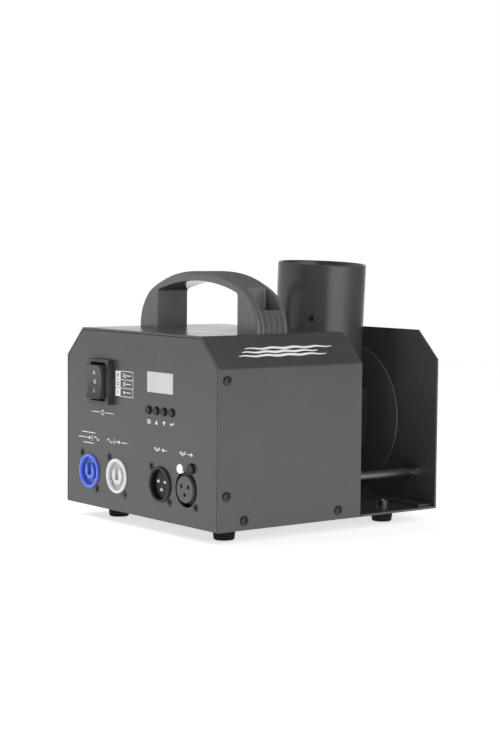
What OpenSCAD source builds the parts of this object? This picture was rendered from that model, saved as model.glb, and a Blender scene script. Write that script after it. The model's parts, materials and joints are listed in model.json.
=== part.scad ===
// Stage fog machine: a folded steel case with a control panel and a carrying handle at the
// front, and an open bay at the rear where a fan-blown outlet barrel tilts between two plates.
// Units are millimetres. +Z is up, the control panel faces -Y, and the barrel tilts about Y.

/* [Case] */
// Outer width of the case
case_w = 180; // [150:1:216]
// Height of the case without its feet
case_h = 125; // [112:1:150]
// Length of the closed box behind the control panel
box_l = 121; // [116:1:146]
// Width of the sloping faces along the two upper edges
chamfer = 20; // [14:1:24]
// Thickness of the steel sheet
sheet_t = 1.5; // [1:0.1:2]
// Gap between one sheet part and the next
seam_gap = 0.3; // [0.2:0.05:0.6]
// Width of the folded flanges that the screws go into
flange_w = 12; // [10:1:13]

/* [Feet] */
// Diameter of a rubber foot where it meets the floor plate
foot_d = 16; // [12:0.5:20]
// Height of a foot
foot_h = 10; // [8:0.5:14]
// Distance from the side of the case to a foot's centre
foot_inset = 28; // [20:1:34]
// Distance from the control panel to the front feet, and from the rear plate to the rear feet
foot_end = 26; // [22:1:30]

/* [Handle] */
// Depth of the handle from front to back
handle_w = 26; // [20:1:32]
// Height of the handle above the case
handle_h = 40.5; // [34:0.5:48]
// Wall of a handle leg at the case
handle_leg = 24; // [20:1:28]
// Height of the finger opening at its middle
grip_h = 33.8; // [28:0.2:34]
// Height of the outer rim of the screw pocket in each shoulder
pocket_z = 15.6; // [12:0.2:18]
// Height of the pocket's floor, which the screw's head sits on
pocket_floor_z = 8; // [6:0.5:10]

/* [Barrel] */
// Outer diameter of the outlet barrel
barrel_d = 63.5; // [50:0.5:76.5]
// Wall of the barrel
barrel_wall = 2; // [1.5:0.1:3]
// Length of the barrel above its pivot
barrel_up = 111.5; // [90:0.5:134]
// Height of the pivot above the underside of the floor plate
pivot_h = 60; // [54:0.5:66]
// Lean of the barrel towards +X where it stands at rest
barrel_lean = 3.1; // [0:0.1:10]
// Gap between the box and the barrel
barrel_gap = 2.8; // [2.4:0.1:5]
// Thickness of the pivot disc on the rear plate
disc_t = 2; // [1.5:0.1:3]
// Diameter of the tie rods beside the barrel
rod_d = 6; // [5:0.5:8]
// Outer diameter of the hollow trunnion that carries the barrel on the box
trunnion_d = 30; // [26:0.5:34]

/* [Control panel] */
// Rocker switch bezel, width
bezel_w = 25.5; // [24:0.5:28]
// Rocker switch bezel, height
bezel_h = 31; // [30:0.5:34]
// How far the bezel stands out of the panel
bezel_proud = 4.2; // [3:0.1:5]
// Width of the display window
display_w = 30; // [24:0.5:34]
// Height of the display window
display_h = 14; // [12:0.5:16]
// Diameter of a button cap
button_d = 5.2; // [4.5:0.1:6]
// How far a button cap stands out of the panel
button_proud = 1.6; // [1.2:0.1:2.4]
// Spacing of the buttons
button_pitch = 8.8; // [8.4:0.1:10]
// Diameter of the round front of every connector
connector_d = 24; // [22:0.5:25]

/* [Works] */
// Diameter of the fan rotor
rotor_d = 55; // [40:0.5:55.5]
// Number of fan blades
blades = 7; // [5:1:9]
// Width of the fluid tank
tank_w = 36; // [30:1:40]
// Diameter of the tank's filler neck
neck_d = 14; // [12:0.5:16]
// Bore of the fluid pump
pump_bore = 10; // [8:0.5:11]

/* [Hidden] */
$fn = 64;

// Fits
run_gap = 0.05;    // radial clearance of a shaft that turns or slides in its hole
move_gap = 0.4;    // clearance beside a piece that moves without being guided
screw_gap = 0.15;  // radial clearance of a screw in the sheet that it passes through
nip = 0.01;        // how far a cut runs past a face

// The rear bay, from the box's rear face to the outer face of the rear plate
barrel_r = barrel_d / 2;
bore_r = barrel_r - barrel_wall;
saddle_web = 0.95;
disc_gap = 0.25;
bay_l = barrel_gap + barrel_d + saddle_web + disc_t + disc_gap + sheet_t;
base_l = box_l + bay_l;
barrel_y = box_l + barrel_gap + barrel_r;
disc_y = base_l - sheet_t - disc_gap - disc_t;
floor_gap = 8;      // between the pivot disc and the underside of the floor plate
disc_r = pivot_h - floor_gap;
barrel_down = sqrt(pow(disc_r - 1, 2) - pow(barrel_r, 2));
rod_r = rod_d / 2;
rod_inset = 20;     // from the side of the case to a tie rod
rod_x = case_w / 2 - rod_inset;
rod_rest_gap = 0.75;
rod_z = pivot_h - barrel_r - rod_r - rod_rest_gap;

// Screws, as head radius, head height and shank radius
m3 = [3.2, 1.8, 1.5];
m4 = [3.6, 2.2, 2];
m5 = [4.6, 3, 2.5];
m4_nut = [3.9, 3.2];
m5_nut = [4.6, 4];
rod_nut = [rod_r + 1.7, 4];

// Tilt knob
bolt_r = 4;
bolt_head_r = 7;
bolt_head_t = 3.2;
knob_r = 18;
knob_t = 14;
knob_gap = 0.3;
knob_collar_t = 2.5;
rear_reach = base_l + knob_gap + knob_collar_t + knob_t;

// Rocker switch: the rocker is a slice of a drum that turns about the pivot, with a block in front
switch_x = -44;
switch_z = case_h - 36.4;
rocker_w = 17;
rocker_r = 12.9;
rocker_pivot_y = 2;
rocker_front = 11;
rocker_tip = 10;      // degrees it tips either way
rocker_back = 4;
rocker_hollow_r = 30;
rocker_pin_r = 1.5;
rocker_pin_l = 1.2;
switch_window_w = rocker_w + 2 * move_gap;
switch_window_h = 2 * (rocker_r + move_gap);
switch_body_l = 30;
switch_shell_t = 2;
insert_gap = 0.1;     // beside a piece that is pushed through the panel
switch_shell_w = switch_window_w + 2 * switch_shell_t;
switch_shell_h = switch_window_h + 1.6;
front_reach = rocker_front - rocker_pivot_y;

// Display and buttons
display_x = 24.6;
display_z = case_h - 33;
window_t = 2.3;
board_y = 12;
pcb_t = 1.6;
board_w = 58;
board_h = 44;
board_x = display_x;
board_z = case_h - 42;
button_z = case_h - 51.9;
button_x0 = display_x + 0.75 - 1.5 * button_pitch;
button_hole_r = button_d / 2 + move_gap;
button_travel = 0.8;
stem_end = 7.6;
button_flange_r = button_d / 2 + 1;
tact_gap = 1.2;

// Connectors: place of each centre, how far it stands out, and the pattern of its screws
connector_r = connector_d / 2;
connector_z = 24.4;
inlet_x = -60.5;
outlet_x = -26;
dmx_in_x = 25.9;
dmx_out_x = 55;
mains_proud = 1.5;
dmx_in_proud = 1.5;
dmx_out_proud = 2.5;
mains_screw = [9.5, 12];
dmx_screw = [10.5, 11];
mains_flange = [26, 31];
dmx_flange = [28, 27];
flange_t = 2;
mains_wall = 2;
mains_depth = 16;
mains_body_l = 24;
mains_core_r = 6;
mains_slot_w = 5;
mains_slot_low = 3;   // how far the slot reaches below the core's middle
dmx_wall = 1.9;
dmx_depth = 12;
dmx_body_l = 22;
pin_r = 1.2;
pin_hole_r = 1.35;
pin_places = [[-3.8, 1.8], [3.8, 1.8], [0, -3.6]];
insert_r = connector_r - dmx_wall - 1.2;
disc_part_r = 3.2;
lamp_at = [dmx_out_x - 6.9, connector_z + 12.8];
latch_at = [dmx_out_x + 6.1, connector_z + 14.2];
latch_travel = 1.5;
csk = [2.9, 1.5];
csk_screw_l = 7;

side_screw_l = 3.8;

// Side screws, as [distance from the panel, height]
side_screws = [[6.5, 23], [6.5, case_h - 27.7], [21, 6.2], [box_l - 20, 6.2]];
floor_screw_x = [-case_w / 3, 0, case_w / 3];
floor_screw_y = [1.5 + flange_w / 2, box_l - sheet_t - flange_w / 2, base_l - sheet_t - flange_w / 2];

// Handle
handle_l = case_w - 2 * chamfer;
handle_y = box_l / 2;
handle_power = 2.25;
grip_half = handle_l / 2 - handle_leg;
grip_side_h = grip_h - 7.3;
pocket_wall = 3.5;
pocket_w = 17;
pocket_rim = 2.6;  // wall outside the pocket, at its rim
pocket_in_x = grip_half + pocket_wall;
pocket_out_x = handle_l / 2 * pow(1 - pow(pocket_z / handle_h, handle_power), 1 / handle_power) - pocket_rim;
handle_screw_x = (pocket_in_x + pocket_out_x) / 2;

// Tank, filler neck and cap
shield_w = 54;
tank_l = 52;
tank_y = box_l - sheet_t - flange_w - 4 - tank_l;
tank_x = -(case_w / 2 - sheet_t - 3.2);
tank_z = sheet_t + 0.5;
tank_headroom = 29;
tank_h = case_h - tank_headroom;
tank_wall = 2;
tank_corner = 6;
neck_r = neck_d / 2;
neck_out = 4.6;
neck_in = 27;
cap_wall = 1.2;
cap_h = 6;
filler_y = tank_y + tank_l / 2;
filler_x = -(case_w / 2 - chamfer / 2);
filler_z = case_h - chamfer / 2;

// Heater, pump and hoses
heater_w = 44;
heater_l = 50;
heater_h = 34;
heater_y = box_l - 69;
shield_t = 1;
shield_l = heater_l + 10;
shield_y = heater_y - 5;
shelf_z = pivot_h - heater_h / 2;
shield_top = pivot_h + heater_h / 2 + 14;
element_r = 4;
element_at = [12, -8];
fluid_bore_r = 2.5;
nozzle_r = 5;
nozzle_bore_r = 3;
nozzle_end = barrel_y - 15;
trunnion_r = trunnion_d / 2;
trunnion_bore_r = trunnion_r - 4;
trunnion_y = box_l - 8;
bush_wall = 2;
bush_flange_t = 1.2;
thermostat_r = 8;
thermostat_h = 8;
pump_z = 20;
pump_y = heater_y + 2;
pump_l = 46;
pump_wall = 2;
pump_r = pump_bore / 2 + pump_wall;
pump_end_wall = 4;
coil_side = 34;
coil_l = 30;
coil_y = pump_y + 8;
bracket_t = 1.5;
plunger_l = 18;
plunger_y = pump_y + 12;
plunger_travel = 3;
hose_r = 2.5;
hose_bore_r = 1.5;
hose_front_y = heater_y - 9;
hose_rear_y = box_l - 10;
outlet_y = tank_y + tank_l - 9;
outlet_z = 12;
hose_side_x = -(shield_w / 2 + 8);

// Power board on the floor, to the right of the heater
power_w = 40;
power_l = 64;
power_x = case_w / 2 - 6 - power_w;
power_y = 38;
power_z = 9;
pillar_r = 3;
pillar_inset = 4;

// Fan and finger guard, as heights along the barrel from the pivot
fan_low = -barrel_down + 1.5;
fan_h = 17;
fan_wall = 1.4;
fan_strut_t = 2;
fan_hub_r = 10;
fan_hub_h = 6;
fan_shaft_r = 1.5;
rotor_low = fan_low + fan_strut_t + fan_hub_h + 1;
blade_t = 1.2;
blade_pitch = 35;
blade_chord = 9;
guard_z = 74;
guard_h = 6;
guard_t = 1.5;
guard_screw_angles = [-50, 130];
guard_screw = [2.3, 1.2, 1.25];

// The model stands on its feet, centred over them from front to back
case_y = (front_reach - rear_reach) / 2;

steel_black = [0.17, 0.17, 0.18];
plastic_black = [0.08, 0.08, 0.085];
rubber_black = [0.05, 0.05, 0.05];
zinc = [0.7, 0.71, 0.73];

// ---- Helpers ----

// From case coordinates (panel face at Y 0, floor underside at Z 0) to the model's own frame
module placed() {
    translate([0, case_y, foot_h]) children();
}

// From barrel coordinates (pivot at the origin, barrel along Z) to case coordinates
module leaned() {
    translate([0, barrel_y, pivot_h]) rotate([0, barrel_lean, 0]) children();
}

// A flat shape drawn in X and Z, from y to y + t
module upright(y, t) {
    translate([0, y + t, 0]) rotate([90, 0, 0]) linear_extrude(t) children();
}

// A rod along +Y from y to y + l
module rod_y(x, y, z, r, l) {
    translate([x, y, z]) rotate([-90, 0, 0]) cylinder(r = r, h = l);
}

// A cone along +Y from radius r1 at y to radius r2 at y + l
module cone_y(x, y, z, r1, r2, l) {
    translate([x, y, z]) rotate([-90, 0, 0]) cylinder(r1 = r1, r2 = r2, h = l);
}

// The case's cross-section, drawn in by inset on its sides, slopes and top
function case_outline(inset) = let (
    x = case_w / 2 - inset,
    top = case_h - inset,
    bend = inset * tan(22.5)
) [
    [-x, 0], [x, 0],
    [x, case_h - chamfer - bend], [case_w / 2 - chamfer - bend, top],
    [-(case_w / 2 - chamfer - bend), top], [-x, case_h - chamfer - bend]
];

module rounded_rect(w, h, r) {
    square([w - 2 * r, h], center = true);
    square([w, h - 2 * r], center = true);
    for (x = [-1, 1], y = [-1, 1])
        translate([x * (w / 2 - r), y * (h / 2 - r)]) circle(r);
}

// A cross-head screw with its head's underside at the origin and its shank along -Z
module cross_screw(size, l) {
    difference() {
        union() {
            cylinder(r = size[0], h = size[1]);
            translate([0, 0, -l]) cylinder(r = size[2], h = l + nip);
        }
        for (a = [0, 90])
            rotate([0, 0, a])
                translate([-size[0] * 0.6, -0.35, size[1] - 0.9])
                    cube([size[0] * 1.2, 0.7, 1]);
    }
}

// A hexagon nut with its underside at the origin
module hex_nut(size, bore) {
    difference() {
        cylinder(r = size[0], h = size[1], $fn = 6);
        translate([0, 0, -nip]) cylinder(r = bore, h = size[1] + 2 * nip);
    }
}

// A round lead or hose along straight runs with ball corners
module lead(points, r) {
    $fn = 20;
    for (i = [0 : len(points) - 2]) {
        step = points[i + 1] - points[i];
        l = norm(step);
        translate(points[i])
            rotate([0, acos(step[2] / l), atan2(step[1], step[0])])
                cylinder(r = r, h = l);
        if (i > 0)
            translate(points[i]) sphere(r);
    }
}

// The place of one connector's screws, at the upper left and the lower right
function screw_places(x, pattern) = [
    [x - pattern[0], connector_z + pattern[1]],
    [x + pattern[0], connector_z - pattern[1]]
];
connector_screw_places = concat(
    screw_places(inlet_x, mains_screw),
    screw_places(outlet_x, mains_screw),
    screw_places(dmx_in_x, dmx_screw),
    [screw_places(dmx_out_x, dmx_screw)[1]]
);

// ---- Case ----

module front_panel() {
    half = case_w / 2 - sheet_t - seam_gap;
    flange_low = 15;
    flange_high = case_h - chamfer - 3;
    color(steel_black) placed() difference() {
        union() {
            upright(0, sheet_t) polygon(case_outline(sheet_t + seam_gap));
            for (side = [-1, 1])
                translate([side > 0 ? half - sheet_t : -half, sheet_t, flange_low])
                    cube([sheet_t, flange_w, flange_high - flange_low]);
            translate([-half + 4, sheet_t, sheet_t])
                cube([2 * half - 8, flange_w, sheet_t]);
        }
        for (x = [inlet_x, outlet_x, dmx_in_x, dmx_out_x])
            rod_y(x, -nip, connector_z, connector_r, sheet_t + 2 * nip);
        for (p = connector_screw_places) {
            cone_y(p[0], 0, p[1], csk[0] + screw_gap, m3[2] + screw_gap, csk[1]);
            rod_y(p[0], -nip, p[1], m3[2] + screw_gap, sheet_t + 2 * nip);
        }
        rod_y(lamp_at[0], -nip, lamp_at[1], disc_part_r, sheet_t + 2 * nip);
        rod_y(latch_at[0], -nip, latch_at[1], disc_part_r + move_gap, sheet_t + 2 * nip);
        translate([switch_x - switch_shell_w / 2 - insert_gap, -nip, switch_z - switch_shell_h / 2 - insert_gap])
            cube([switch_shell_w + 2 * insert_gap, sheet_t + 2 * nip, switch_shell_h + 2 * insert_gap]);
        translate([display_x - display_w / 2, -nip, display_z - display_h / 2])
            cube([display_w, sheet_t + 2 * nip, display_h]);
        for (i = [0 : 3])
            rod_y(button_x0 + i * button_pitch, -nip, button_z, button_hole_r, sheet_t + 2 * nip);
        for (s = [0, 1], side = [-1, 1])
            translate([side * case_w / 2, side_screws[s][0], side_screws[s][1]])
                rotate([0, 90, 0]) cylinder(r = m3[2] + screw_gap, h = 12, center = true);
        for (x = floor_screw_x)
            translate([x, floor_screw_y[0], 0]) cylinder(r = m3[2] + screw_gap, h = 6);
    }
}

module base_pan() {
    inner = case_w / 2 - sheet_t - seam_gap;
    floor_y = sheet_t + seam_gap;
    lip_y = side_screws[2][0] - 6;
    color(steel_black) placed() difference() {
        union() {
            translate([-inner, floor_y, 0])
                cube([2 * inner, box_l + seam_gap - floor_y, sheet_t]);
            translate([-case_w / 2, box_l + seam_gap, 0])
                cube([case_w, base_l - sheet_t - box_l - seam_gap, sheet_t]);
            for (side = [-1, 1])
                translate([side > 0 ? inner - sheet_t : -inner, lip_y, sheet_t])
                    cube([sheet_t, box_l - sheet_t - seam_gap - lip_y, 9.5]);
        }
        for (x = [-1, 1], y = [foot_end, base_l - foot_end])
            translate([x * (case_w / 2 - foot_inset), y, -nip])
                cylinder(r = m4[2] + screw_gap, h = sheet_t + 2 * nip);
        for (x = floor_screw_x, y = floor_screw_y)
            translate([x, y, -nip]) cylinder(r = m3[2] + screw_gap, h = sheet_t + 2 * nip);
        for (s = [2, 3], side = [-1, 1])
            translate([side * case_w / 2, side_screws[s][0], side_screws[s][1]])
                rotate([0, 90, 0]) cylinder(r = m3[2] + screw_gap, h = 12, center = true);
    }
}

module bulkhead() {
    half = case_w / 2 - sheet_t - seam_gap;
    color(steel_black) placed() difference() {
        union() {
            difference() {
                upright(box_l - sheet_t, sheet_t) polygon(case_outline(sheet_t + seam_gap));
                translate([-case_w / 2, box_l - 2 * sheet_t, -nip])
                    cube([case_w, 3 * sheet_t, sheet_t + nip]);
            }
            translate([-half + 4, box_l - sheet_t - flange_w, sheet_t])
                cube([2 * half - 8, flange_w, sheet_t]);
        }
        rod_y(0, box_l - 2 * sheet_t, pivot_h, trunnion_r + bush_wall, 3 * sheet_t);
        for (side = [-1, 1])
            rod_y(side * rod_x, box_l - 2 * sheet_t, rod_z, rod_r, 3 * sheet_t);
        for (x = floor_screw_x)
            translate([x, floor_screw_y[1], 0]) cylinder(r = m3[2] + screw_gap, h = 6);
    }
}

module rear_plate() {
    color(steel_black) placed() difference() {
        union() {
            upright(base_l - sheet_t, sheet_t) polygon(case_outline(0));
            translate([-case_w / 2 + 4, base_l - sheet_t - flange_w, sheet_t])
                cube([case_w - 8, flange_w, sheet_t]);
        }
        rod_y(0, base_l - 2 * sheet_t, pivot_h, bolt_r + run_gap, 3 * sheet_t);
        for (side = [-1, 1])
            rod_y(side * rod_x, base_l - 2 * sheet_t, rod_z, rod_r, 3 * sheet_t);
        for (x = floor_screw_x)
            translate([x, floor_screw_y[2], 0]) cylinder(r = m3[2] + screw_gap, h = 6);
    }
}

module cover() {
    color(steel_black) placed() difference() {
        upright(0, box_l) difference() {
            polygon(case_outline(0));
            translate([0, -nip]) polygon(case_outline(sheet_t));
            translate([-case_w / 2 + sheet_t, -1]) square([case_w - 2 * sheet_t, 2]);
        }
        for (s = side_screws, side = [-1, 1])
            translate([side * case_w / 2, s[0], s[1]])
                rotate([0, 90, 0]) cylinder(r = m3[2] + screw_gap, h = 12, center = true);
        for (side = [-1, 1])
            translate([side * handle_screw_x, handle_y, case_h - 2 * sheet_t])
                cylinder(r = m5[2] + screw_gap, h = 3 * sheet_t);
        translate([filler_x, filler_y, filler_z]) rotate([0, -45, 0])
            cylinder(r = neck_r, h = 4 * sheet_t, center = true);
    }
}

module case_screws() {
    color(plastic_black) placed() {
        for (s = side_screws, side = [-1, 1])
            translate([side * case_w / 2, s[0], s[1]])
                rotate([0, side * 90, 0]) cross_screw(m3, side_screw_l);
        for (x = floor_screw_x, y = floor_screw_y)
            translate([x, y, 0]) rotate([180, 0, 0]) cross_screw(m3, 6);
    }
}

// ---- Handle ----

// Outer edge of the handle, a rounded arch that starts and ends on the case
function arch_point(a) = [
    handle_l / 2 * sign(cos(a)) * pow(abs(cos(a)), 2 / handle_power),
    handle_h * pow(abs(sin(a)), 2 / handle_power)
];
arch_steps = 40;

module grip_opening() {
    crown_rise = grip_h - grip_side_h;
    crown_r = (pow(grip_half, 2) + pow(crown_rise, 2)) / (2 * crown_rise);
    intersection() {
        translate([-grip_half, -1]) square([2 * grip_half, grip_h + 1]);
        translate([0, grip_h - crown_r]) circle(crown_r, $fn = 256);
    }
}

module handle() {
    color(plastic_black) placed() translate([0, 0, case_h]) difference() {
        upright(handle_y - handle_w / 2, handle_w) difference() {
            polygon([for (i = [0 : arch_steps]) arch_point(180 * i / arch_steps)]);
            grip_opening();
        }
        for (side = [-1, 1]) {
            translate([side > 0 ? pocket_in_x : -handle_l / 2 - 1, handle_y - pocket_w / 2, pocket_z])
                cube([handle_l / 2 + 1 - pocket_in_x, pocket_w, handle_h]);
            translate([side > 0 ? pocket_in_x : -pocket_out_x, handle_y - pocket_w / 2, pocket_floor_z])
                cube([pocket_out_x - pocket_in_x, pocket_w, handle_h]);
            translate([side * handle_screw_x, handle_y, -1])
                cylinder(r = m5[2] + screw_gap, h = pocket_floor_z + 2);
        }
    }
}

module handle_screws() {
    color(zinc) placed() for (side = [-1, 1]) {
        translate([side * handle_screw_x, handle_y, case_h + pocket_floor_z])
            cross_screw(m5, pocket_floor_z + sheet_t + m5_nut[1] + 1);
        translate([side * handle_screw_x, handle_y, case_h - sheet_t - m5_nut[1]])
            hex_nut(m5_nut, m5[2]);
    }
}

// ---- Feet and tie rods ----

module at_feet() {
    for (x = [-1, 1], y = [foot_end, base_l - foot_end])
        translate([x * (case_w / 2 - foot_inset), y, 0]) children();
}

module feet() {
    color(rubber_black) placed() at_feet() difference() {
        translate([0, 0, -foot_h]) cylinder(r1 = foot_d / 2 - 1, r2 = foot_d / 2, h = foot_h);
        translate([0, 0, -foot_h - nip]) cylinder(r = m4[0] + 0.4, h = foot_h / 2 + nip);
        translate([0, 0, -foot_h]) cylinder(r = m4[2], h = foot_h + nip);
    }
}

module foot_bolts() {
    color(zinc) placed() at_feet() {
        translate([0, 0, -foot_h / 2]) rotate([180, 0, 0])
            cross_screw(m4, foot_h / 2 + sheet_t + m4_nut[1] + 1);
        translate([0, 0, sheet_t]) hex_nut(m4_nut, m4[2]);
    }
}

module tie_rod(side) {
    color(zinc) placed()
        rod_y(side * rod_x, box_l - sheet_t - 7, rod_z, rod_r, base_l + 7 - (box_l - sheet_t - 7));
}

module tie_rod_left() tie_rod(-1);
module tie_rod_right() tie_rod(1);

module tie_rod_nuts() {
    places = [box_l - sheet_t, box_l + rod_nut[1], base_l - sheet_t, base_l + rod_nut[1]];
    color(zinc) placed() for (side = [-1, 1], y = places)
        translate([side * rod_x, y, rod_z]) rotate([90, 0, 0]) hex_nut(rod_nut, rod_r);
}

// ---- Connectors ----

// The plate behind the panel, with the screws' holes, and the round body behind it
module connector_back(x, pattern, plate, body_r, body_l) {
    difference() {
        union() {
            upright(sheet_t, flange_t) translate([x, connector_z]) rounded_rect(plate[0], plate[1], 2);
            rod_y(x, sheet_t, connector_z, body_r, body_l - sheet_t);
        }
        for (p = screw_places(x, pattern))
            rod_y(p[0], 0, p[1], m3[2], body_l);
    }
}

module mains_socket(x) {
    difference() {
        union() {
            connector_back(x, mains_screw, mains_flange, connector_r - 1, mains_body_l);
            rod_y(x, -mains_proud, connector_z, connector_r, mains_proud + sheet_t + nip);
        }
        rod_y(x, -mains_proud - nip, connector_z, connector_r - mains_wall,
              mains_proud + mains_depth + nip);
    }
    difference() {
        rod_y(x, -mains_proud + 1, connector_z, mains_core_r, mains_proud + mains_depth - 1 + nip);
        translate([x - mains_slot_w / 2, -mains_proud, connector_z - mains_slot_low])
            cube([mains_slot_w, mains_depth, mains_slot_low + mains_core_r + 1]);
    }
    translate([x - 1.5, -mains_proud + 1, connector_z + connector_r - mains_wall - 1.4])
        cube([3, mains_proud + mains_depth - 1, 1.6]);
}

module mains_inlet() {
    color([0.16, 0.25, 0.75]) placed() mains_socket(inlet_x);
}

module mains_outlet() {
    color([0.85, 0.85, 0.85]) placed() mains_socket(outlet_x);
}

module mains_contacts() {
    color([0.8, 0.65, 0.3]) placed() for (x = [inlet_x, outlet_x], a = [0, 180, 270])
        translate([x, 0, connector_z]) rotate([0, a, 0])
            translate([mains_core_r, 3, -1.5]) cube([0.8, mains_depth - 3, 3]);
}

module dmx_in_shell() {
    color(steel_black) placed() difference() {
        union() {
            connector_back(dmx_in_x, dmx_screw, dmx_flange, connector_r - 1, dmx_body_l);
            rod_y(dmx_in_x, -dmx_in_proud, connector_z, connector_r, dmx_in_proud + sheet_t + nip);
        }
        rod_y(dmx_in_x, -dmx_in_proud - nip, connector_z, connector_r - dmx_wall,
              dmx_in_proud + dmx_depth + nip);
        for (p = pin_places)
            rod_y(dmx_in_x + p[0], 0, connector_z + p[1], pin_r, dmx_body_l + 1);
    }
}

module dmx_in_pins() {
    color(zinc) placed() for (p = pin_places) {
        rod_y(dmx_in_x + p[0], 1.4, connector_z + p[1], pin_r, dmx_body_l + 2 - 1.4);
        translate([dmx_in_x + p[0], 1.4, connector_z + p[1]]) sphere(pin_r);
    }
}

module dmx_out_shell() {
    color(steel_black) placed() difference() {
        union() {
            connector_back(dmx_out_x, dmx_screw, dmx_flange, connector_r - 1, dmx_body_l);
            rod_y(dmx_out_x, -dmx_out_proud, connector_z, connector_r, dmx_out_proud + sheet_t + nip);
            upright(sheet_t, flange_t)
                translate([dmx_out_x, connector_z + 13]) rounded_rect(dmx_flange[0], 14, 2);
        }
        rod_y(dmx_out_x, -dmx_out_proud - nip, connector_z, connector_r - dmx_wall,
              dmx_out_proud + dmx_depth + nip);
        rod_y(lamp_at[0], -dmx_out_proud - 1, lamp_at[1], disc_part_r, 12);
        rod_y(latch_at[0], -dmx_out_proud - 1, latch_at[1], disc_part_r + move_gap, 12);
    }
}

module dmx_out_insert() {
    color([0.33, 0.33, 0.34]) placed() difference() {
        rod_y(dmx_out_x, -dmx_out_proud + 1.2, connector_z, insert_r, dmx_out_proud - 1.2 + dmx_depth);
        for (p = pin_places)
            rod_y(dmx_out_x + p[0], -dmx_out_proud, connector_z + p[1], pin_hole_r, dmx_depth);
    }
}

module dmx_out_latch() {
    flange_y = sheet_t + flange_t + 0.5;
    color(plastic_black) placed() {
        rod_y(latch_at[0], -2.2, latch_at[1], disc_part_r, 2.2 + flange_y + 1 + nip);
        rod_y(latch_at[0], flange_y, latch_at[1], disc_part_r + 1.2, 1.2);
        rod_y(latch_at[0], flange_y + 1.2 - nip, latch_at[1], 1.5, 6);
    }
}

module signal_lamp() {
    color([0.95, 0.95, 0.95]) placed() {
        rod_y(lamp_at[0], -0.8, lamp_at[1], disc_part_r, 0.8 + 6);
        cone_y(lamp_at[0], -1.6, lamp_at[1], disc_part_r - 0.9, disc_part_r, 0.8);
    }
}

module connector_screws() {
    color(plastic_black) placed() for (p = connector_screw_places) difference() {
        union() {
            cone_y(p[0], 0, p[1], csk[0], m3[2], csk[1]);
            rod_y(p[0], csk[1] - nip, p[1], m3[2], csk_screw_l);
        }
        for (a = [0, 90])
            translate([p[0], -nip, p[1]]) rotate([0, a, 0])
                translate([-1.6, 0, -0.3]) cube([3.2, 0.7, 0.6]);
    }
}

// ---- Switch, display and buttons ----

module switch_bezel() {
    well_y = rocker_pivot_y + rocker_back + 5;
    color(plastic_black) placed() translate([switch_x, 0, switch_z]) {
        difference() {
            union() {
                translate([-bezel_w / 2, -bezel_proud, -bezel_h / 2])
                    cube([bezel_w, bezel_proud, bezel_h]);
                translate([-switch_shell_w / 2, -nip, -switch_shell_h / 2])
                    cube([switch_shell_w, switch_body_l, switch_shell_h]);
            }
            translate([-switch_window_w / 2, -bezel_proud - nip, -switch_window_h / 2])
                cube([switch_window_w, bezel_proud + well_y, switch_window_h]);
            translate([0, rocker_pivot_y, 0]) rotate([0, 90, 0])
                cylinder(r = rocker_pin_r + run_gap, h = rocker_w + 2 * rocker_pin_l + 1, center = true);
        }
        for (x = [-4.5, 4.5], z = [-7, 0, 7])
            translate([x - 0.4, switch_body_l - 1, z - 2.2]) cube([0.8, 8, 4.4]);
    }
}

// Outline of the rocker in its own plane: X is up and Y is forward, with the pivot at the origin
module rocker_outline() {
    // The block keeps inside the window in the bezel's face when the rocker is tipped
    face_y = rocker_pivot_y + bezel_proud;
    block = (rocker_r - face_y * tan(rocker_tip)) * cos(rocker_tip);
    hollow_centre = rocker_front + sqrt(pow(rocker_hollow_r, 2) - pow(block, 2));
    difference() {
        union() {
            circle(rocker_r);
            translate([-block, 0]) square([2 * block, rocker_front]);
        }
        translate([-rocker_r, -rocker_r - rocker_back]) square([2 * rocker_r, rocker_r]);
        translate([-rocker_r, rocker_front]) square([2 * rocker_r, rocker_r]);
        translate([0, hollow_centre]) circle(rocker_hollow_r, $fn = 128);
    }
}

module switch_rocker() {
    color(plastic_black) placed() translate([switch_x, rocker_pivot_y, switch_z]) {
        rotate([0, 90, 0]) cylinder(r = rocker_pin_r, h = rocker_w + 2 * rocker_pin_l, center = true);
        difference() {
            rotate([180, 90, 0]) translate([0, 0, -rocker_w / 2])
                linear_extrude(rocker_w) rocker_outline();
            rotate([0, 90, 0])
                cylinder(r = rocker_pin_r, h = rocker_w + 2, center = true);
        }
    }
}

module display_window() {
    color([0.82, 0.83, 0.84]) placed()
        translate([display_x - display_w / 2, 0, display_z - display_h / 2])
            cube([display_w, window_t, display_h]);
}

module display_module() {
    color([0.2, 0.2, 0.2]) placed()
        translate([display_x - display_w / 2 + 0.5, window_t, display_z - display_h / 2 - 1])
            cube([display_w - 1, board_y - window_t, display_h + 2]);
}

module control_board() {
    tact_y = stem_end + tact_gap;
    color([0.1, 0.35, 0.2]) placed() difference() {
        union() {
            translate([board_x - board_w / 2, board_y, board_z - board_h / 2])
                cube([board_w, pcb_t, board_h]);
            for (i = [0 : 3])
                translate([button_x0 + i * button_pitch - 3, tact_y, button_z - 3])
                    cube([6, board_y - tact_y + nip, 6]);
            translate([board_x - 22, board_y + pcb_t - nip, board_z - 8]) cube([12, 3, 12]);
            translate([board_x + 10, board_y + pcb_t - nip, board_z - 20]) cube([12, 6, 6]);
        }
        for (x = [-1, 1], z = [-1, 1])
            rod_y(board_x + x * (board_w / 2 - pillar_inset), board_y - 1,
                  board_z + z * (board_h / 2 - pillar_inset), m3[2], pcb_t + 2);
    }
}

module push_button(i) {
    flange_y = sheet_t + 0.6;
    color([0.12, 0.12, 0.12]) placed() {
        rod_y(button_x0 + i * button_pitch, -button_proud, button_z, button_d / 2,
              button_proud + flange_y + 0.5);
        rod_y(button_x0 + i * button_pitch, flange_y, button_z, button_flange_r, 1);
        rod_y(button_x0 + i * button_pitch, flange_y + 0.5, button_z, 1.4, stem_end - flange_y - 0.5);
    }
}

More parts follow.
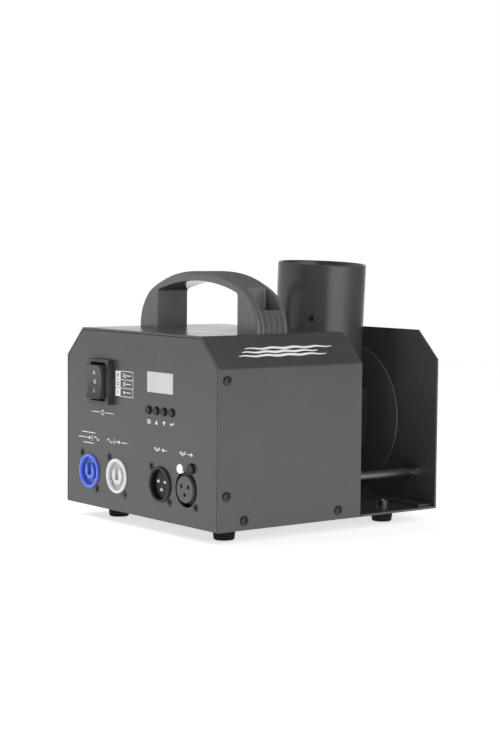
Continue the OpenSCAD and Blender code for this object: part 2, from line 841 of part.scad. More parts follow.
module menu_button() push_button(0);
module up_button() push_button(1);
module down_button() push_button(2);
module enter_button() push_button(3);

// ---- Electronics and wiring ----

module board_pillars() {
    color(zinc) placed() {
        for (x = [-1, 1], z = [-1, 1])
            rod_y(board_x + x * (board_w / 2 - pillar_inset), sheet_t,
                  board_z + z * (board_h / 2 - pillar_inset), pillar_r, board_y - sheet_t);
        for (x = [pillar_inset, power_w - pillar_inset], y = [pillar_inset, power_l - pillar_inset])
            translate([power_x + x, power_y + y, sheet_t])
                cylinder(r = pillar_r, h = power_z - sheet_t);
    }
}

module power_board() {
    top = power_z + pcb_t - nip;
    color([0.1, 0.35, 0.2]) placed() {
        difference() {
            translate([power_x, power_y, power_z]) cube([power_w, power_l, pcb_t]);
            for (x = [pillar_inset, power_w - pillar_inset], y = [pillar_inset, power_l - pillar_inset])
                translate([power_x + x, power_y + y, power_z - 1]) cylinder(r = m3[2], h = 4);
        }
        translate([power_x + 8, power_y + 30, top]) cube([24, 26, 22]);
        translate([power_x + 8, power_y + 8, top]) cube([24, 8, 9]);
        for (x = [11, 29])
            translate([power_x + x, power_y + 23, top]) cylinder(r = 5, h = 20);
    }
}

module wiring() {
    back_y = switch_body_l + 14;
    switch_end = switch_body_l + 7;
    left_tab = switch_x - 4.5;
    right_tab = switch_x + 4.5;
    block_y = power_y + 12;
    block_top = power_z + pcb_t + 9;
    board_tail = board_y + pcb_t + 6;
    tail_z = board_z - 17;
    element_z = pivot_h + element_at[1];
    color([0.15, 0.15, 0.16]) placed() {
        // Mains inlet to the switch
        lead([[inlet_x, mains_body_l, connector_z], [inlet_x, back_y, connector_z],
              [inlet_x, back_y, switch_z - 18], [left_tab, back_y, switch_z - 18],
              [left_tab, back_y, switch_z - 7], [left_tab, switch_end, switch_z - 7]], 1.6);
        // Switch to the mains outlet
        lead([[outlet_x, mains_body_l, connector_z], [outlet_x, back_y, connector_z],
              [outlet_x, back_y, switch_z], [right_tab, back_y, switch_z],
              [right_tab, switch_end, switch_z]], 1.6);
        // Switch to the power board
        lead([[right_tab, switch_end, switch_z + 7], [right_tab, back_y, switch_z + 7],
              [power_x + 12, back_y, switch_z + 7], [power_x + 12, block_y, switch_z + 7],
              [power_x + 12, block_y, block_top]], 1.6);
        // Power board to the heating element
        lead([[element_at[0], heater_y - 6, element_z], [element_at[0], back_y - 4, element_z],
              [power_x + 21, back_y - 4, element_z], [power_x + 21, block_y, element_z],
              [power_x + 21, block_y, block_top]], 1.4);
        // Control board to the power board
        lead([[board_x + 16, board_tail, tail_z], [board_x + 16, back_y - 10, tail_z],
              [power_x + 29, back_y - 10, tail_z], [power_x + 29, block_y, tail_z],
              [power_x + 29, block_y, block_top]], 1.4);
    }
}

// ---- Fluid ----

module filler_axis() {
    translate([filler_x, filler_y, filler_z]) rotate([0, -45, 0]) children();
}

module fluid_tank() {
    body_x = tank_x + tank_w / 2;
    body_y = tank_y + tank_l / 2;
    color([0.85, 0.86, 0.82]) placed() difference() {
        union() {
            translate([body_x, body_y, tank_z]) linear_extrude(tank_h)
                rounded_rect(tank_w, tank_l, tank_corner);
            filler_axis() translate([0, 0, -neck_in]) cylinder(r = neck_r, h = neck_in + neck_out);
            translate([tank_x + tank_w - tank_wall, outlet_y, outlet_z])
                rotate([0, 90, 0]) cylinder(r = hose_bore_r, h = 10);
        }
        translate([body_x, body_y, tank_z + tank_wall]) linear_extrude(tank_h - 2 * tank_wall)
            rounded_rect(tank_w - 2 * tank_wall, tank_l - 2 * tank_wall, tank_corner - tank_wall);
        filler_axis() translate([0, 0, -neck_in - 1])
            cylinder(r = neck_r - 1.6, h = neck_in + neck_out + 2);
    }
}

module tank_cap() {
    skirt_low = 0.4;
    cap_r = neck_r + run_gap + cap_wall;
    color(plastic_black) placed() filler_axis() difference() {
        union() {
            translate([0, 0, skirt_low]) cylinder(r = cap_r, h = cap_h - skirt_low);
            for (a = [0 : 30 : 330])
                rotate([0, 0, a]) translate([cap_r - 0.1, -0.6, skirt_low])
                    cube([0.6, 1.2, cap_h - skirt_low - 1]);
        }
        translate([0, 0, skirt_low - nip])
            cylinder(r = neck_r + run_gap, h = neck_out + 0.3 - skirt_low);
    }
}

module suction_hose() {
    color([0.8, 0.75, 0.65]) placed() difference() {
        lead([[tank_x + tank_w, outlet_y, outlet_z], [hose_side_x, outlet_y, outlet_z],
              [hose_side_x, hose_rear_y, outlet_z], [0, hose_rear_y, outlet_z],
              [0, hose_rear_y, pump_z], [0, pump_y + pump_l + 1, pump_z]], hose_r);
        translate([tank_x + tank_w - nip, outlet_y, outlet_z])
            rotate([0, 90, 0]) cylinder(r = hose_bore_r, h = 8);
        rod_y(0, pump_y + pump_l, pump_z, hose_bore_r, 5.5);
    }
}

module pressure_hose() {
    color([0.8, 0.75, 0.65]) placed() difference() {
        lead([[0, pump_y - 1, pump_z], [0, hose_front_y, pump_z],
              [0, hose_front_y, pivot_h], [0, heater_y - 1, pivot_h]], hose_r);
        rod_y(0, pump_y - 5.5, pump_z, hose_bore_r, 5.5);
        rod_y(0, heater_y - 5, pivot_h, hose_bore_r, 5);
    }
}

module pump_housing() {
    color([0.9, 0.9, 0.88]) placed() difference() {
        union() {
            rod_y(0, pump_y, pump_z, pump_r, pump_l);
            rod_y(0, pump_y - 5, pump_z, hose_bore_r, pump_l + 10);
        }
        rod_y(0, pump_y + pump_end_wall, pump_z, pump_bore / 2, pump_l - 2 * pump_end_wall);
        rod_y(0, pump_y - 6, pump_z, 0.7, pump_l + 12);
    }
}

module pump_coil() {
    color([0.55, 0.25, 0.12]) placed() difference() {
        translate([-coil_side / 2, coil_y, pump_z - coil_side / 2])
            cube([coil_side, coil_l, coil_side]);
        rod_y(0, coil_y - 1, pump_z, pump_r, coil_l + 2);
    }
}

module pump_bracket() {
    base_z = sheet_t;
    ear_h = pump_z + pump_r + 4 - base_z;
    color(zinc) placed() difference() {
        union() {
            translate([-coil_side / 2, coil_y - bracket_t, base_z])
                cube([coil_side, coil_l + 2 * bracket_t, pump_z - coil_side / 2 - base_z]);
            for (y = [coil_y - bracket_t, coil_y + coil_l])
                translate([-coil_side / 2, y, base_z]) cube([coil_side, bracket_t, ear_h]);
        }
        rod_y(0, coil_y - 2 * bracket_t, pump_z, pump_r, coil_l + 4 * bracket_t);
    }
}

module pump_plunger() {
    color([0.6, 0.6, 0.62]) placed()
        rod_y(0, plunger_y, pump_z, pump_bore / 2 - run_gap, plunger_l);
}

module pump_spring() {
    spring_y = plunger_y + plunger_l;
    spring_l = pump_y + pump_l - pump_end_wall - spring_y;
    color(zinc) placed() difference() {
        rod_y(0, spring_y, pump_z, pump_bore / 2 - 0.6, spring_l);
        rod_y(0, spring_y - 1, pump_z, pump_bore / 2 - 1.6, spring_l + 2);
    }
}

// ---- Heater ----

module heater_block() {
    color([0.7, 0.71, 0.72]) placed() difference() {
        translate([-heater_w / 2, heater_y, shelf_z]) cube([heater_w, heater_l, heater_h]);
        rod_y(0, heater_y - 1, pivot_h, fluid_bore_r, heater_l + 2);
        rod_y(element_at[0], heater_y - 1, pivot_h + element_at[1], element_r, heater_l - 4);
    }
}

module heating_element() {
    color([0.5, 0.48, 0.45]) placed()
        rod_y(element_at[0], heater_y - 6, pivot_h + element_at[1], element_r, heater_l + 1);
}

module thermostat() {
    color([0.75, 0.7, 0.6]) placed()
        translate([0, heater_y + heater_l / 2, shelf_z + heater_h]) {
            cylinder(r = thermostat_r, h = thermostat_h);
            for (side = [-1, 1])
                translate([side * 4 - 0.4, -2, thermostat_h - nip]) cube([0.8, 4, 4]);
        }
}

module heat_shield() {
    half = shield_w / 2;
    color([0.6, 0.61, 0.63]) placed() {
        for (side = [-1, 1])
            translate([side > 0 ? half - shield_t : -half, shield_y, sheet_t])
                cube([shield_t, shield_l, shield_top - sheet_t]);
        translate([-half, shield_y, shield_top - shield_t]) cube([shield_w, shield_l, shield_t]);
        translate([-half, shield_y, shelf_z - shield_t]) cube([shield_w, shield_l, shield_t]);
    }
}

module fog_nozzle() {
    start = heater_y + heater_l;
    color([0.78, 0.64, 0.32]) placed() difference() {
        union() {
            rod_y(0, start, pivot_h, nozzle_r, nozzle_end - start);
            cone_y(0, nozzle_end - 6, pivot_h, nozzle_r, nozzle_r + 2, 6);
            translate([0, start + 5, pivot_h]) rotate([90, 0, 0]) cylinder(r = 8, h = 5, $fn = 6);
        }
        rod_y(0, start - 1, pivot_h, nozzle_bore_r, nozzle_end - start + 2);
    }
}

// ---- Barrel ----

module barrel() {
    color(steel_black) placed() leaned() difference() {
        translate([0, 0, -barrel_down]) cylinder(r = barrel_r, h = barrel_down + barrel_up);
        translate([0, 0, -barrel_down - 1]) cylinder(r = bore_r, h = barrel_down + barrel_up + 2);
        rod_y(0, -barrel_r - 1, 0, trunnion_bore_r, barrel_r);
        rod_y(0, 1, 0, bolt_r, barrel_r);
        for (a = guard_screw_angles)
            rotate([0, 0, a]) translate([0, 0, guard_z]) rotate([0, 90, 0])
                cylinder(r = guard_screw[2], h = barrel_r + 1);
    }
}

module barrel_saddle() {
    pad_w = 40;
    pad_h = 44;
    web_y = disc_y - barrel_y;
    color(steel_black) placed() leaned() difference() {
        translate([-pad_w / 2, web_y - 10, -pad_h / 2]) cube([pad_w, 10, pad_h]);
        translate([0, 0, -pad_h]) cylinder(r = barrel_r, h = 2 * pad_h);
        rod_y(0, 1, 0, bolt_r, barrel_r + 5);
    }
}

module pivot_disc() {
    color(steel_black) placed() leaned() difference() {
        rod_y(0, disc_y - barrel_y, 0, disc_r, disc_t);
        rod_y(0, disc_y - barrel_y - 1, 0, bolt_r, disc_t + 2);
    }
}

module pivot_bolt() {
    color(zinc) placed() {
        rod_y(0, barrel_y + bore_r - bolt_head_t, pivot_h, bolt_r,
              rear_reach - 1 - (barrel_y + bore_r - bolt_head_t));
        leaned() intersection() {
            rod_y(0, bore_r - bolt_head_t, 0, bolt_head_r, bolt_head_t);
            translate([0, 0, -20]) cylinder(r = bore_r, h = 40);
        }
    }
}

module front_trunnion() {
    tube_l = barrel_y - barrel_r + 6 - trunnion_y;
    color(zinc) placed() leaned() difference() {
        rod_y(0, trunnion_y - barrel_y, 0, trunnion_r, tube_l);
        rod_y(0, trunnion_y - barrel_y - 1, 0, trunnion_bore_r, tube_l + 2);
        translate([0, 0, -trunnion_d]) cylinder(r = barrel_r, h = 2 * trunnion_d);
    }
}

module trunnion_bush() {
    color([0.9, 0.9, 0.88]) placed() difference() {
        union() {
            rod_y(0, box_l - sheet_t - 3, pivot_h, trunnion_r + bush_wall, sheet_t + 3 + nip);
            rod_y(0, box_l, pivot_h, trunnion_r + bush_wall + 3, bush_flange_t);
        }
        rod_y(0, box_l - sheet_t - 4, pivot_h, trunnion_r + run_gap, sheet_t + 4 + bush_flange_t + 1);
    }
}

module tilt_knob() {
    lobes = 6;
    knob_y = base_l + knob_gap;
    color(plastic_black) placed() translate([0, 0, pivot_h]) difference() {
        union() {
            rod_y(0, knob_y, 0, knob_r / 2, knob_collar_t + nip);
            difference() {
                rod_y(0, knob_y + knob_collar_t, 0, knob_r, knob_t);
                for (i = [0 : lobes - 1])
                    rotate([0, i * 360 / lobes, 0])
                        rod_y(knob_r + 4, knob_y + knob_collar_t - 1, 0, 8, knob_t + 2);
            }
        }
        rod_y(0, knob_y - 1, 0, bolt_r + run_gap, knob_t + knob_collar_t + 2);
    }
}

module finger_guard() {
    color(plastic_black) placed() leaned() translate([0, 0, guard_z - guard_h / 2]) difference() {
        union() {
            difference() {
                cylinder(r = bore_r, h = guard_h);
                translate([0, 0, -1]) cylinder(r = bore_r - guard_t, h = guard_h + 2);
            }
            difference() {
                cylinder(r = bore_r * 0.55, h = guard_t);
                translate([0, 0, -1]) cylinder(r = bore_r * 0.55 - guard_t, h = guard_t + 2);
            }
            for (a = [0, 90])
                rotate([0, 0, a]) translate([-bore_r + guard_t / 2, -guard_t / 2, 0])
                    cube([2 * bore_r - guard_t, guard_t, guard_t]);
        }
        for (a = guard_screw_angles)
            rotate([0, 0, a]) translate([0, 0, guard_h / 2]) rotate([0, 90, 0])
                cylinder(r = guard_screw[2], h = barrel_r + 1);
    }
}

module guard_screws() {
    color(plastic_black) placed() leaned() for (a = guard_screw_angles)
        rotate([0, 0, a]) translate([barrel_r, 0, guard_z]) rotate([0, 90, 0])
            cross_screw(guard_screw, barrel_wall + guard_t);
}

// ---- Fan ----

module fan_frame() {
    ring_in = bore_r - fan_wall;
    color(plastic_black) placed() leaned() translate([0, 0, fan_low]) difference() {
        union() {
            difference() {
                cylinder(r = bore_r, h = fan_h);
                translate([0, 0, -1]) cylinder(r = ring_in, h = fan_h + 2);
            }
            cylinder(r = fan_hub_r, h = fan_strut_t + fan_hub_h);
            for (a = [0 : 120 : 240])
                rotate([0, 0, a]) translate([fan_hub_r - 1, -2, 0])
                    cube([ring_in - fan_hub_r + 1.5, 4, fan_strut_t]);
        }
        translate([0, 0, fan_strut_t]) cylinder(r = fan_shaft_r + run_gap, h = fan_hub_h + 1);
    }
}

module fan_rotor() {
    rotor_h = fan_h - (rotor_low - fan_low) - 0.5;
    color([0.1, 0.1, 0.11]) placed() leaned() translate([0, 0, rotor_low]) {
        cylinder(r = fan_hub_r, h = rotor_h);
        translate([0, 0, -fan_hub_h]) cylinder(r = fan_shaft_r, h = fan_hub_h + nip);
        intersection() {
            translate([0, 0, -1]) cylinder(r = rotor_d / 2, h = rotor_h + 2);
            for (i = [0 : blades - 1])
                rotate([0, 0, i * 360 / blades])
                    translate([fan_hub_r - 0.5, 0, rotor_h / 2])
                        rotate([blade_pitch, 0, 0])
                            translate([0, -blade_chord / 2, -blade_t / 2])
                                cube([rotor_d / 2, blade_chord, blade_t]);
        }
    }
}

front_panel();
base_pan();
bulkhead();
rear_plate();
cover();
case_screws();
handle();
handle_screws();
feet();
foot_bolts();
tie_rod_left();
tie_rod_right();
tie_rod_nuts();
mains_inlet();
mains_outlet();
mains_contacts();
dmx_in_shell();
dmx_in_pins();
dmx_out_shell();
dmx_out_insert();
dmx_out_latch();
connector_screws();
signal_lamp();
switch_bezel();
switch_rocker();
display_window();
display_module();
control_board();
menu_button();
up_button();
down_button();
enter_button();
board_pillars();
power_board();
wiring();
fluid_tank();
tank_cap();
suction_hose();
pressure_hose();
pump_housing();
pump_coil();
pump_bracket();
pump_plunger();
pump_spring();
heater_block();
heating_element();
thermostat();
heat_shield();
fog_nozzle();
barrel();
barrel_saddle();
pivot_disc();
pivot_bolt();
front_trunnion();
trunnion_bush();
tilt_knob();
finger_guard();
guard_screws();
fan_frame();
fan_rotor();
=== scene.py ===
"""Stage fog machine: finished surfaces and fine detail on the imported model.

Every length in a property group is in metres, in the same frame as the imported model: +Z up, the
control panel facing -Y. Each operator makes one piece or one group of like pieces.
"""

import json
import math

import bmesh
import bpy
from bpy.props import FloatProperty, FloatVectorProperty, IntProperty, PointerProperty
from mathutils import Matrix, Vector


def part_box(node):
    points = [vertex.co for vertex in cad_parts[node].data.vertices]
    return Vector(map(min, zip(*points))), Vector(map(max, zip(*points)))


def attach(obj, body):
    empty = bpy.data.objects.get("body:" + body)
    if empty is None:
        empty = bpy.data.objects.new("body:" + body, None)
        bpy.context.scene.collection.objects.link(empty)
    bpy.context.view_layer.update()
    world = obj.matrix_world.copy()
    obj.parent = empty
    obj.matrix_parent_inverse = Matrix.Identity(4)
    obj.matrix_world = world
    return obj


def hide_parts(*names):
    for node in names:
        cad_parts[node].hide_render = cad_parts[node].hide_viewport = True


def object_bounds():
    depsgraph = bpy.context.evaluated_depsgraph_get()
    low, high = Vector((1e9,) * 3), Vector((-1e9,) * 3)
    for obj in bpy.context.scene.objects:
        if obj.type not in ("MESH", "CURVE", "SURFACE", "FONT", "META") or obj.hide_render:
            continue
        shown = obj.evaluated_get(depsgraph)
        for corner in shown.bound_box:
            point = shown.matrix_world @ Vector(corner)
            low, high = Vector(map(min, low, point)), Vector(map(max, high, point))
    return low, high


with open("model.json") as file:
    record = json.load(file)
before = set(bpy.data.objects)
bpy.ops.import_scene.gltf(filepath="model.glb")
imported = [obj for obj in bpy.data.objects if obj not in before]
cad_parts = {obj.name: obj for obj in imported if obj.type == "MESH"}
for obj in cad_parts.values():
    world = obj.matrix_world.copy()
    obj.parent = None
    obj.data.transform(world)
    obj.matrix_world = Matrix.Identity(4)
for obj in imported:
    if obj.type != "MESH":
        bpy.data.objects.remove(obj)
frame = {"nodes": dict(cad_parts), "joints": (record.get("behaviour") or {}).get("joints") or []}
cad_box = [list(corner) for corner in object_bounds()]

bl_info = {
    "name": "Stage Fog Machine",
    "version": (1, 0, 0),
    "blender": (4, 5, 0),
    "location": "3D View > Sidebar > Fog Machine",
    "description": "Builds the finished surfaces of a stage fog machine around its packed model",
    "category": "Add Mesh",
}

MM = 0.001
SHEET = 1.5 * MM
MERGE = 0.002 * MM  # how near two vertices of a CAD mesh lie when they are one


# ---------------------------------------------------------------- places taken from the frame


def low(node):
    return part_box(node)[0]


def high(node):
    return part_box(node)[1]


def middle(node):
    return (low(node) + high(node)) / 2


PANEL_Y = low("front_panel").y
FLOOR_Z = low("base_pan").z
BOX_END = high("cover").y
REAR_FACE = high("rear_plate").y
HALF_W = high("cover").x
TOP_Z = high("cover").z
JOINTS = {joint["name"]: joint for joint in frame["joints"]}
SPIN = JOINTS["fan_spin"]
PIVOT = Vector(JOINTS["barrel_tilt"]["pos_m"])
BARREL_UP = Vector(SPIN["axis"]).normalized()
CHAMFER = 20 * MM
BARREL_R = (high("barrel").y - low("barrel").y) / 2


# ---------------------------------------------------------------- settings


def colour_of(name, description, default):
    return FloatVectorProperty(name=name, description=description, subtype="COLOR", size=3,
                               min=0, max=1, default=default)


def length_of(name, description, default):
    return FloatProperty(name=name, description=description, default=default, unit="LENGTH")


def angle_of(name, description, degrees):
    return FloatProperty(name=name, description=description, subtype="ANGLE",
                         default=math.radians(degrees))


class FogCoatSettings(bpy.types.PropertyGroup):
    """Colours and grain of the finishes."""

    coat: colour_of("Coat", "Powder coat of the sheet metal", (0.060, 0.060, 0.0605))
    coat_grain: length_of("Coat grain", "Size of the coat's orange peel", 0.9 * MM)
    barrel: colour_of("Barrel", "Enamel of the barrel", (0.050, 0.050, 0.051))
    plastic: colour_of("Black plastic", "Moulded black parts", (0.010, 0.010, 0.0105))
    handle: colour_of("Handle", "Moulded handle", (0.105, 0.105, 0.106))
    blue: colour_of("Inlet blue", "Mains inlet", (0.11, 0.20, 0.85))
    white: colour_of("Outlet white", "Mains outlet", (0.80, 0.80, 0.80))
    print_white: colour_of("Print", "Screen print on the case", (0.82, 0.82, 0.82))


class FogSheetSettings(bpy.types.PropertyGroup):
    """Folded sheet metal."""

    fold: length_of("Fold radius", "Outer radius of the cover's folds", 2.2 * MM)
    fold_steps: IntProperty(
        name="Fold steps", description="Faces round one fold", default=6, min=2, max=16,
    )
    edge: length_of("Edge", "Rounding of cut sheet edges", 0.22 * MM)


class FogHandleSettings(bpy.types.PropertyGroup):
    """The arched handle."""

    flutes: IntProperty(
        name="Flutes", description="Grooves along the outer face", default=4, min=0, max=9,
    )
    flute_depth: length_of("Flute depth", "Depth of a groove", 2.2 * MM)
    step: length_of("Edge step", "How far the outer edges lie under the middle", 1.6 * MM)
    round: length_of("Edge rounding", "Rounding of the long edges", 1.3 * MM)
    pocket_width: length_of("Pocket width", "Screw pocket, front to back", 17 * MM)
    pocket_mouth: length_of("Pocket mouth", "Height of the pocket's outer rim above the case", 15.6 * MM)
    pocket_depth: length_of("Pocket depth", "Depth of the pocket's floor below its rim", 7.6 * MM)
    rim: length_of("Rim", "Wall outside the pocket", 2.6 * MM)
    pocket_wall: length_of("Pocket wall", "Wall between the pocket and the finger opening", 3.5 * MM)
    grip_height: length_of("Grip height", "Height of the finger opening at its middle", 33.8 * MM)
    grip_side: length_of("Grip side", "Height of the finger opening at its sides", 26.5 * MM)
    leg: length_of("Leg", "Thickness of a leg at the case", 24 * MM)


class FogPrintSettings(bpy.types.PropertyGroup):
    """Screen print and the ornament on the slope."""

    thickness: length_of("Ink", "Thickness of the printed ink", 0.06 * MM)
    line: length_of("Line", "Width of a printed line", 0.55 * MM)
    band_length: length_of("Ornament length", "Length of the ornament on the slope", 82 * MM)
    band_height: length_of("Ornament height", "Height of the ornament along the slope", 9.4 * MM)


class FogStageSettings(bpy.types.PropertyGroup):
    """Camera, floor and light."""

    camera_at: FloatVectorProperty(
        name="Camera", description="Place of the camera", subtype="TRANSLATION", size=3,
        default=(0.9796, -0.7705, 0.1944),
    )
    yaw: angle_of("Yaw", "Turn of the camera about the upright", 51.99)
    pitch: angle_of("Pitch", "How far the camera looks down", 4.25)
    roll: angle_of("Roll", "Turn of the camera about its own line of sight", 0.52)
    lens: FloatProperty(name="Lens", description="Focal length in millimetres", default=84.66)
    floor_size: length_of("Floor", "Side of the floor", 2.6)
    key_power: FloatProperty(name="Key light", description="Power of the key light", default=14.0)
    fill_power: FloatProperty(name="Fill light", description="Power of the fill", default=10.0)


def settings():
    return bpy.context.scene.fog_machine


class FogMachineSettings(bpy.types.PropertyGroup):
    """Everything a user would change."""

    coat: PointerProperty(type=FogCoatSettings)
    sheet: PointerProperty(type=FogSheetSettings)
    handle: PointerProperty(type=FogHandleSettings)
    marks: PointerProperty(type=FogPrintSettings)
    stage: PointerProperty(type=FogStageSettings)


# ---------------------------------------------------------------- node tree helpers


def new_node(tree, kind, values=None, **attributes):
    node = tree.nodes.new(kind)
    for key, value in attributes.items():
        setattr(node, key, value)
    for key, value in (values or {}).items():
        node.inputs[key].default_value = value
    return node


# Each finish: its colour or the setting that holds it, roughness, metallic, the size of its grain and
# the height of its bump in millimetres, how far its colour varies and how far its roughness varies
FINISHES = {
    "powder_coat": ("coat", 0.24, 0.0, None, 0.006, 0.06, 0.04),
    "barrel_enamel": ("barrel", 0.22, 0.0, None, 0.006, 0.06, 0.04),
    "socket_plastic": ((0.022, 0.022, 0.023), 0.34, 0.0, 0.35, 0.004, 0.12, 0.06),
    "black_plastic": ("plastic", 0.42, 0.0, 0.35, 0.012, 0.12, 0.06),
    "switch_plastic": ((0.034, 0.034, 0.035), 0.36, 0.0, 0.4, 0.004, 0.10, 0.05),
    "handle_plastic": ("handle", 0.20, 0.0, 0.5, 0.003, 0.03, 0.05),
    "fan_plastic": ((0.018, 0.018, 0.02), 0.45, 0.0, 0.4, 0.012, 0.15, 0.06),
    "rubber": ((0.010, 0.010, 0.010), 0.80, 0.0, 0.6, 0.02, 0.25, 0.08),
    "inlet_blue": ("blue", 0.28, 0.0, 0.5, 0.004, 0.06, 0.05),
    "outlet_white": ("white", 0.30, 0.0, 0.5, 0.004, 0.03, 0.05),
    "insert_grey": ((0.085, 0.085, 0.088), 0.45, 0.0, 0.4, 0.012, 0.10, 0.06),
    "screen_print": ("print_white", 0.55, 0.0, 0.25, 0.004, 0.06, 0.0),
    "dark_ink": ((0.03, 0.03, 0.032), 0.5, 0.0, 0.25, 0.004, 0.10, 0.0),
    "zinc_plate": ((0.36, 0.36, 0.355), 0.36, 1.0, 0.5, 0.008, 0.12, 0.10),
    "plated_pin": ((0.92, 0.92, 0.90), 0.30, 0.4, 0.5, 0.004, 0.05, 0.05),
    "rod_steel": ((0.17, 0.17, 0.175), 0.42, 0.9, 0.4, 0.01, 0.18, 0.10),
    "black_screws": ((0.05, 0.05, 0.052), 0.34, 0.7, 0.4, 0.008, 0.15, 0.08),
    "turned_brass": ((0.78, 0.58, 0.26), 0.26, 1.0, 0.4, 0.006, 0.10, 0.08),
    "lamp_lens": ((0.93, 0.93, 0.93), 0.18, 0.0, 0.8, 0.004, 0.03, 0.0),
    "display_window": ((0.56, 0.57, 0.58), 0.12, 0.0, 0.8, 0.002, 0.03, 0.0),
    "display_digits": ((0.66, 0.67, 0.68), 0.2, 0.0, 0.5, 0.002, 0.04, 0.0),
    "solder_mask": ((0.015, 0.12, 0.05), 0.35, 0.0, 0.7, 0.01, 0.25, 0.08),
    "cable_sheath": ((0.02, 0.02, 0.022), 0.5, 0.0, 0.6, 0.02, 0.2, 0.0),
    "tank_plastic": ((0.72, 0.73, 0.68), 0.42, 0.0, 1.4, 0.03, 0.06, 0.06),
    "silicone": ((0.62, 0.55, 0.44), 0.5, 0.0, 1.0, 0.01, 0.06, 0.0),
    "coil_tape": ((0.32, 0.10, 0.03), 0.45, 0.0, 0.5, 0.03, 0.25, 0.0),
    "cast_aluminium": ((0.55, 0.56, 0.57), 0.42, 1.0, 0.8, 0.05, 0.15, 0.12),
    "heat_tinted_steel": ((0.42, 0.36, 0.30), 0.35, 1.0, 0.6, 0.01, 0.3, 0.12),
    "bright_sheet": ((0.62, 0.63, 0.65), 0.28, 1.0, 0.5, 0.01, 0.10, 0.1),
    "pale_floor": ((0.86, 0.86, 0.86), 0.9, 0.0, 4.0, 0.002, 0.01, 0.0),
}
# What some finishes have besides: clear coat, glow, refraction, a grain drawn out along an axis, and
# painted shade: a colour that falls to a share of itself between two depths behind the panel's face,
# standing in for the shade inside the connectors' bores
EXTRAS = {
    # deep: painted shade that darkens each connector's bore with depth behind the panel's face
    "socket_plastic": {"ior": 1.35, "deep": (-1.2 * MM, 2 * MM, 0.04)},
    "handle_plastic": {"coat": 0.35},
    "rubber": {"ior": 1.3},
    "inlet_blue": {"deep": (-1 * MM, 4 * MM, 0.15)},
    "outlet_white": {"deep": (-1 * MM, 5 * MM, 0.30)},
    "rod_steel": {"streak": (8, 0.6, 8)},
    "turned_brass": {"streak": (1, 6, 1)},
    "coil_tape": {"streak": (1, 9, 1)},
    "bright_sheet": {"streak": (1, 12, 1)},
    "lamp_lens": {"coat": 0.5, "glow": 0.25},
    "display_window": {"coat": 0.6},
    "display_digits": {"coat": 0.4},
    "pale_floor": {"glow": 0.75},
}
# Finishes of the CAD pieces inside the case that are shown as they are
INSIDE = {
    "display_module": "black_plastic", "control_board": "solder_mask", "power_board": "solder_mask",
    "board_pillars": "turned_brass", "wiring": "cable_sheath", "fluid_tank": "tank_plastic",
    "suction_hose": "silicone", "pressure_hose": "silicone", "pump_housing": "outlet_white",
    "pump_coil": "coil_tape", "pump_bracket": "zinc_plate", "pump_plunger": "bright_sheet",
    "heater_block": "cast_aluminium", "heating_element": "heat_tinted_steel",
    "thermostat": "heat_tinted_steel", "heat_shield": "bright_sheet", "fog_nozzle": "turned_brass",
    "mains_contacts": "turned_brass",
}


